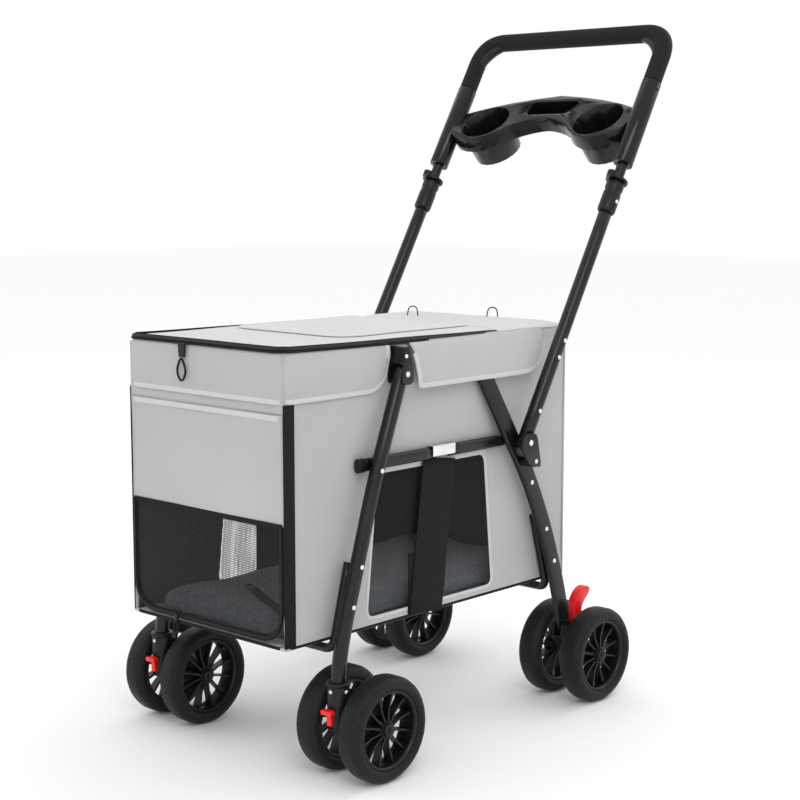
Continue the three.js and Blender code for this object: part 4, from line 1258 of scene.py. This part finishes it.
def rear_legs():
    for side, sign in SIDES.items():
        top_x = (low("rear_leg_right").x + LEG_ACROSS / 2) * sign
        leg_x = BRACE_REAR.x + 10 * MM
        corners = [
            (top_x, REAR_PIVOT.y - 9 * MM, REAR_PIVOT.z + 13 * MM),
            (top_x, REAR_PIVOT.y + 9 * MM, REAR_PIVOT.z - 13 * MM),
            (sign * leg_x, BRACE_REAR.y - 9 * MM, BRACE_REAR.z + 14 * MM),
            (sign * (leg_x + 1 * MM), BRACE_REAR.y + 34 * MM, BRACE_REAR.z - 52 * MM),
            (sign * (leg_x + 4 * MM), REAR_AXLE.y - 70 * MM, FLOOR + 85 * MM),
            (sign * (STEM.x - 1 * MM), REAR_AXLE.y - 45 * MM, FLOOR),
            (sign * STEM.x, REAR_AXLE.y - 27 * MM, WHEEL_RADIUS + 36 * MM),
        ]
        path = dense(rounded_path(corners, 40 * MM, 8), 20 * MM)
        bar = sweep(
            f"rear_bar_{side}", path, oval_section(LEG_ACROSS, LEG_ALONG, 36), POWDER_COAT, X_AXIS
        )
        settle(bar, "rear_frame", f"rear_leg_{side}")
        out, lift = X_AXIS * sign, LEG_ACROSS / 2 - 0.4 * MM
        heights = (BRACE_REAR.z - 66 * MM, FLOOR + 83 * MM, FLOOR + 33 * MM)
        spots = [(on_path(path, height) + out * lift, out, 3.4 * MM) for height in heights]
        rivets(f"rear_leg_rivets_{side}", "rear_frame", spots)


def floor_loops():
    for name, body in (("front_floor_loop", "front_frame"), ("rear_floor_loop", "rear_frame")):
        bottom, top = low(name), high(name)
        z = bottom.z + LOOP_RADIUS
        x = top.x - LOOP_RADIUS
        upper_y = top.y - LOOP_RADIUS if body == "front_frame" else bottom.y + LOOP_RADIUS
        lower_y = bottom.y + LOOP_RADIUS if body == "front_frame" else top.y - LOOP_RADIUS
        route = [
            (-x, upper_y, top.z - 2 * MM), (-x, lower_y, z), (x, lower_y, z), (x, upper_y, top.z - 2 * MM)
        ]
        path = dense(rounded_path(route, 16 * MM, 8), 25 * MM)
        rod = sweep(f"{name}_rod", path, circle_section(LOOP_RADIUS, 24), POWDER_COAT)
        settle(rod, body, name)


def side_braces():
    for side, sign in SIDES.items():
        for end in ("front", "rear"):
            node = f"brace_{end}_{side}"
            bottom, top = low(node), high(node)
            x = sign * BRACE_FRONT.x
            z = BRACE_FRONT.z
            near, far = (top.y, bottom.y) if end == "front" else (bottom.y, top.y)
            path = dense([Vector((x, near, z)), Vector((x, far, z))], 25 * MM)
            bar = sweep(
                f"{node}_bar", path, oval_section(BRACE_ACROSS, BRACE_ALONG, 32), POWDER_COAT, X_AXIS
            )
            settle(bar, node, node)
            if end == "front":
                cap_path = [
                    Vector((x, far + 11 * MM, z)), Vector((x, far + 5 * MM, z)),
                    Vector((x, far - 0.5 * MM, z))
                ]
                cap = sweep(
                    f"brace_cap_{side}", cap_path,
                    oval_section(BRACE_ACROSS + 2 * MM, BRACE_ALONG + 2 * MM, 32), BLACK_NYLON, X_AXIS
                )
                soften_edges(cap, 0.8 * MM)
                settle(cap, node)
        moulded(f"brace_clip_{side}", CHROME_PLATE, 0.3 * MM)
        bottom, top = low(f"brace_clip_{side}"), high(f"brace_clip_{side}")
        face = top.x if sign > 0 else bottom.x
        at = (face, (bottom.y + top.y) / 2, BRACE_FRONT.z)
        settle(rivet(f"clip_rivet_{side}", at, X_AXIS * sign, 3.6 * MM), f"brace_front_{side}")


def pivot_brackets():
    for side, sign in SIDES.items():
        moulded(f"front_bracket_{side}", BLACK_NYLON, 0.9 * MM)
        moulded(f"rear_bracket_{side}", POWDER_COAT, 0.5 * MM)
        face, out = high("front_bracket_right").x * sign, X_AXIS * sign
        at, above = (face, *FRONT_PIVOT.yz), (face, FRONT_PIVOT.y - 3 * MM, FRONT_PIVOT.z + 24 * MM)
        rivets(f"front_bracket_rivets_{side}", "cabin", [(at, out, 3.8 * MM), (above, out, 2.8 * MM)])


# ---- wheels and housings ----
RIM_RADIUS = 53 * MM
SPOKES = 12


def tyre_mesh():
    """A tyre about the X axis: square shoulders, a crowned tread and a bead that grips the rim."""
    tread = WHEEL_RADIUS
    half = [
        (8 * MM, tread), (12.5 * MM, tread - 1.6 * MM), (16.5 * MM, tread - 5.2 * MM),
        (18.4 * MM, tread - 9.5 * MM), (18.2 * MM, tread - 13 * MM), (17.4 * MM, tread - 14.4 * MM),
        (16.0 * MM, RIM_RADIUS + 0.8 * MM), (15.0 * MM, RIM_RADIUS - 0.4 * MM),
        (8 * MM, RIM_RADIUS - 1.2 * MM)
    ]
    profile = half + [(-along, radius) for along, radius in reversed(half)]
    return turned("tyre", (0, 0, 0), X_AXIS, profile + [profile[0]], TYRE_RUBBER, 72)


SQUARE = ((-1, -1), (1, -1), (1, 1), (-1, 1))


def wheel_axes(angle):
    """Outwards and round the wheel, at that angle about the X axis."""
    cosine, sine = math.cos(angle), math.sin(angle)
    return Vector((0, cosine, sine)), Vector((0, -sine, cosine))


def tread_blocks():
    """Low slanted bars pressed into the tread, in two rows that lean opposite ways."""
    vertices, faces = [], []
    count = 60
    length, width, height = 6.4 * MM, 1.5 * MM, 0.5 * MM
    for k in range(count):
        for row in (-1, 1):
            angle = 2 * math.pi * (k + (0.5 if row > 0 else 0)) / count
            out, around = wheel_axes(angle)
            along = (X_AXIS * row * 0.8 + around * 0.6).normalized()
            side = out.cross(along)
            middle = out * (WHEEL_RADIUS - 0.55 * MM) + X_AXIS * row * 4.4 * MM
            start = len(vertices)
            for lift in (0, height):
                for a, b in SQUARE:
                    shrink = 1 if lift == 0 else 0.7
                    vertices.append(
                        middle + along * a * length / 2 * shrink + side * b * width * shrink + out * lift
                    )
            quads = [(0, 1, 2, 3), (7, 6, 5, 4), (0, 4, 5, 1), (1, 5, 6, 2), (2, 6, 7, 3), (3, 7, 4, 0)]
            faces += [tuple(start + c for c in quad) for quad in quads]
    return face_out(add_mesh("tread", vertices, faces, TYRE_RUBBER, smooth=False))


def hub_mesh():
    """Rim, twelve slim spokes set back from both faces, and a capped boss."""
    rim = [
        (-15 * MM, RIM_RADIUS - 0.6 * MM), (-15 * MM, RIM_RADIUS - 3.6 * MM),
        (-9 * MM, RIM_RADIUS - 5.4 * MM), (9 * MM, RIM_RADIUS - 5.4 * MM),
        (15 * MM, RIM_RADIUS - 3.6 * MM), (15 * MM, RIM_RADIUS - 0.6 * MM),
        (-15 * MM, RIM_RADIUS - 0.6 * MM)
    ]
    parts = [turned("rim", (0, 0, 0), X_AXIS, rim, HUB_NYLON, 72)]
    boss = [(-11 * MM, 0), (-11 * MM, 11.5 * MM), (11 * MM, 11.5 * MM), (11 * MM, 0)]
    parts.append(soften_edges(turned("boss", (0, 0, 0), X_AXIS, boss, HUB_NYLON, 40), 0.8 * MM))
    vertices, faces = [], []
    for k in range(SPOKES):
        angle = 2 * math.pi * (k + 0.5) / SPOKES
        out, around = wheel_axes(angle)
        start = len(vertices)
        for radius, half_width, half_depth in (
            (10.5 * MM, 1.5 * MM, 8.5 * MM), (26 * MM, 1.3 * MM, 5.5 * MM), (49 * MM, 1.9 * MM, 7.5 * MM)
        ):
            for a, b in SQUARE:
                vertices.append(out * radius + around * a * half_width + X_AXIS * b * half_depth)
        for ring in (0, 4):
            for c in range(4):
                d = (c + 1) % 4
                faces.append(
                    (start + ring + c, start + ring + d, start + ring + 4 + d, start + ring + 4 + c)
                )
        faces.append((start, start + 3, start + 2, start + 1))
        faces.append((start + 8, start + 9, start + 10, start + 11))
    spokes = face_out(add_mesh("spokes", vertices, faces, HUB_NYLON))
    parts.append(soften_edges(spokes, 0.4 * MM))
    return joined("hub", parts)


def cap_mesh():
    """The domed cap on both ends of the boss."""
    caps = []
    for sign in (-1, 1):
        profile = [
            (11 * MM, 0), (11 * MM, 9.5 * MM), (13 * MM, 9.3 * MM), (14.6 * MM, 7.6 * MM),
            (15.4 * MM, 4.5 * MM), (15.6 * MM, 0)
        ]
        caps.append(turned("cap", (0, 0, 0), X_AXIS * sign, profile, BLACK_NYLON, 40))
    return joined("cap", caps)


def wheels():
    tyre, hub, cap = joined("tyre", [tyre_mesh(), tread_blocks()]), hub_mesh(), cap_mesh()
    for end in ("front", "rear"):
        for side in SIDES:
            for place in ("inner", "outer"):
                node = f"{end}_wheel_{side}_{place}"
                centre = PIVOTS[f"{node}_spin"]
                for shape, label in ((tyre, "tyre"), (hub, "hub"), (cap, "cap")):
                    data = shape.data.copy()
                    data.transform(Matrix.Translation(centre))
                    piece = new_object(f"{node}_{label}", data)
                    nodes = (node,) if label == "tyre" else ()
                    settle(piece, node, *nodes)
    for shape in (tyre, hub, cap):
        bpy.data.objects.remove(shape)


def housings():
    for side, sign in SIDES.items():
        moulded(f"caster_housing_{side}", BLACK_NYLON, 1.2 * MM)
        moulded(f"rear_housing_{side}", BLACK_NYLON, 1.2 * MM)
        moulded(f"swivel_lock_{side}", RED_NYLON, 0.9 * MM)
        moulded(f"brake_pedal_{side}", RED_NYLON, 1.4 * MM)
        top = high(f"caster_housing_{side}").z
        x = STEM.x * sign
        collar = [
            (-3 * MM, LEG_RADIUS + 0.2 * MM), (-3 * MM, 15.6 * MM), (0.5 * MM, 15.8 * MM),
            (2 * MM, 14.6 * MM), (2.4 * MM, LEG_RADIUS + 0.2 * MM)
        ]
        ring = turned(f"socket_lip_{side}", (x, STEM.y, top), Z_AXIS, collar + [collar[0]], BLACK_NYLON)
        settle(ring, f"caster_{side}")
        outer, front = (x + sign * 14.2 * MM, STEM.y, top - 9 * MM), (x, STEM.y - 14.2 * MM, top - 9 * MM)
        spots = [(outer, X_AXIS * sign, 2.6 * MM), (front, -Y_AXIS, 2.6 * MM)]
        rivets(f"socket_rivets_{side}", f"caster_{side}", spots)
        pedal_ribs(side, sign)


def pedal_ribs(side, sign):
    """Grip ribs across the hooked top of the brake pedal."""
    top = high(f"brake_pedal_{side}")
    bottom = low(f"brake_pedal_{side}")
    half = (top.x - bottom.x) / 2
    x = (top.x + bottom.x) / 2
    ribs = []
    for k in range(5):
        t = k / 4
        y = top.y - 5 * MM - 17 * MM * t
        z = top.z - 2.5 * MM - 2.4 * MM * abs(t - 0.35) - 7.5 * MM * max(0.0, t - 0.5)
        rib = [Vector((x - half * 0.8, y, z)), Vector((x, y, z)), Vector((x + half * 0.8, y, z))]
        ribs.append(sweep("rib", rib, circle_section(1.3 * MM, 10), RED_NYLON, Z_AXIS))
    settle(joined(f"pedal_ribs_{side}", ribs), f"brake_{side}")


# ---- handle ----
def on_handle(x, along, back=0.0):
    """A point on the handle: x across, "along" up the tubes from the pivot, "back" behind them."""
    return Vector((x, HANDLE_PIVOT.y, HANDLE_PIVOT.z)) + HANDLE_UP * along + HANDLE_BACK * back


CLAMP_AT = 377 * MM
HANDLE_LENGTH = 690 * MM
SLEEVE = (458 * MM, 600 * MM)
LOWER_RADIUS, UPPER_RADIUS, GRIP_RADIUS = 10 * MM, 8 * MM, 14 * MM
GRIP_BEND = 82 * MM


def handle_tubes():
    for side, sign in SIDES.items():
        x = sign * HANDLE_X
        run = [on_handle(x, along * MM) for along in (-4, 60, 130, 200, 270, 340, 421)]
        tube = sweep(f"lower_tube_{side}", run, circle_section(LOWER_RADIUS, 32), POWDER_COAT, X_AXIS)
        settle(tube, "handle_lower", f"handle_lower_{side}")
        face, out = x + sign * (LOWER_RADIUS - 0.4 * MM), X_AXIS * sign
        spots = [(on_handle(face, along * MM), out, 3.2 * MM) for along in (54, 139, 166)]
        rivets(f"handle_rivets_{side}", "handle_lower", spots)
        sleeve = [
            (-1 * MM, LOWER_RADIUS), (0, 12.4 * MM), (3 * MM, 13.4 * MM), (30 * MM, 13.4 * MM),
            (32 * MM, 12.6 * MM), (36 * MM, 12.6 * MM), (38 * MM, 13.6 * MM), (48 * MM, 13.6 * MM),
            (50 * MM, 12.4 * MM), (50 * MM, UPPER_RADIUS + 0.2 * MM), (-1 * MM, UPPER_RADIUS + 0.2 * MM)
        ]
        clamp = turned(
            f"clamp_sleeve_{side}", on_handle(x, CLAMP_AT), HANDLE_UP, sleeve + [sleeve[0]], BLACK_NYLON
        )
        settle(clamp, "handle_lower", f"telescope_clamp_{side}")
        screw = rivet(
            f"clamp_screw_{side}", on_handle(x + sign * 13.2 * MM, CLAMP_AT + 18 * MM), X_AXIS * sign,
            3.0 * MM
        )
        settle(screw, "handle_lower")
        moulded(f"release_collar_{side}", BLACK_NYLON, 1.0 * MM)


def handle_route(start):
    x = HANDLE_X
    corners = [(-x, start), (-x, HANDLE_LENGTH), (x, HANDLE_LENGTH), (x, start)]
    return dense(rounded_path([on_handle(u, along) for u, along in corners], GRIP_BEND, 16), 12 * MM)


def handle_top():
    tube = sweep(
        "upper_tube", handle_route(250 * MM), circle_section(UPPER_RADIUS, 28), POWDER_COAT, HANDLE_BACK
    )
    settle(tube, "handle_upper", "handle_upper_tube")
    grip = sweep(
        "foam_sleeve", handle_route(SLEEVE[1] + 1 * MM), circle_section(GRIP_RADIUS, 36), FOAM_GRIP,
        HANDLE_BACK
    )
    soften_edges(grip, 2 * MM, 50, 3)
    settle(grip, "handle_upper", "grip")


def hinge_plates():
    for side, sign in SIDES.items():
        moulded(f"hinge_plate_{side}", BLACK_NYLON, 1.2 * MM)
        face, out = high("hinge_plate_right").x * sign, X_AXIS * sign
        at = (face, HANDLE_PIVOT.y + 2 * MM, HANDLE_PIVOT.z + 4 * MM)
        below = (face, HANDLE_PIVOT.y + 14 * MM, HANDLE_PIVOT.z - 24 * MM)
        rivets(f"hinge_rivets_{side}", "rear_frame", [(at, out, 4.2 * MM), (below, out, 3.2 * MM)])


def tray():
    moulded("parent_tray", GLOSS_BLACK, 1.6 * MM)
    buttons = []
    for sign in SIDES.values():
        for along in (476 * MM, 588 * MM):
            at = on_handle(sign * (HANDLE_X + 14.6 * MM), along)
            buttons.append(rivet("head", at, X_AXIS * sign, 2.6 * MM, BLACK_NYLON))
    settle(joined("sleeve_screws", buttons), "handle_upper")


def rim_wire():
    moulded("rim_frame", POWDER_COAT, 0.4 * MM)


# ---- floor and light ----
def studio():
    floor_material = start_material("studio_floor", 0.9)[0]
    shader = floor_material.node_tree.nodes["Principled BSDF"]
    shader.inputs["Base Color"].default_value = (0.97, 0.97, 0.97, 1)
    reach = 12
    corners = [(-reach, -reach, 0), (reach, -reach, 0), (reach, reach, 0), (-reach, reach, 0)]
    add_mesh("studio_floor", corners, [(0, 1, 2, 3)], floor_material, smooth=False)
    world = bpy.data.worlds.new("studio")
    world.use_nodes = True
    background = world.node_tree.nodes["Background"]
    background.inputs["Color"].default_value = (1, 1, 1, 1)
    background.inputs["Strength"].default_value = 1.0
    bpy.context.scene.world = world
    bpy.context.scene.view_settings.view_transform = "Standard"
    for name, place, size, power in (
        ("key", (2.4, -2.2, 2.9), 1.6, 32),
        ("fill", (-2.6, -1.6, 1.8), 2.0, 6),
        ("back", (0.6, 2.8, 2.4), 1.8, 17),
    ):
        light = bpy.data.lights.new(name, "AREA")
        light.energy = power
        light.size = size
        lamp = new_object(name, light)
        lamp.location = place
        lamp.rotation_euler = (Vector(place) - CAMERA_AIM).to_track_quat("Z", "Y").to_euler()


# ---- assembly ----
side_walls()
cabin_edges()
floor_cover()
rear_wall()
front_header()
door_fabric()
corner_tapes()
door_pull()
lid_cover()
window_patch()
rear_top()
front_flap()
side_flaps()
rim_wire()
padded_floor()
tethers()
floor_webbing()
front_legs()
rear_legs()
floor_loops()
side_braces()
pivot_brackets()
wheels()
housings()
handle_tubes()
handle_top()
hinge_plates()
tray()
lid_pull()
studio()
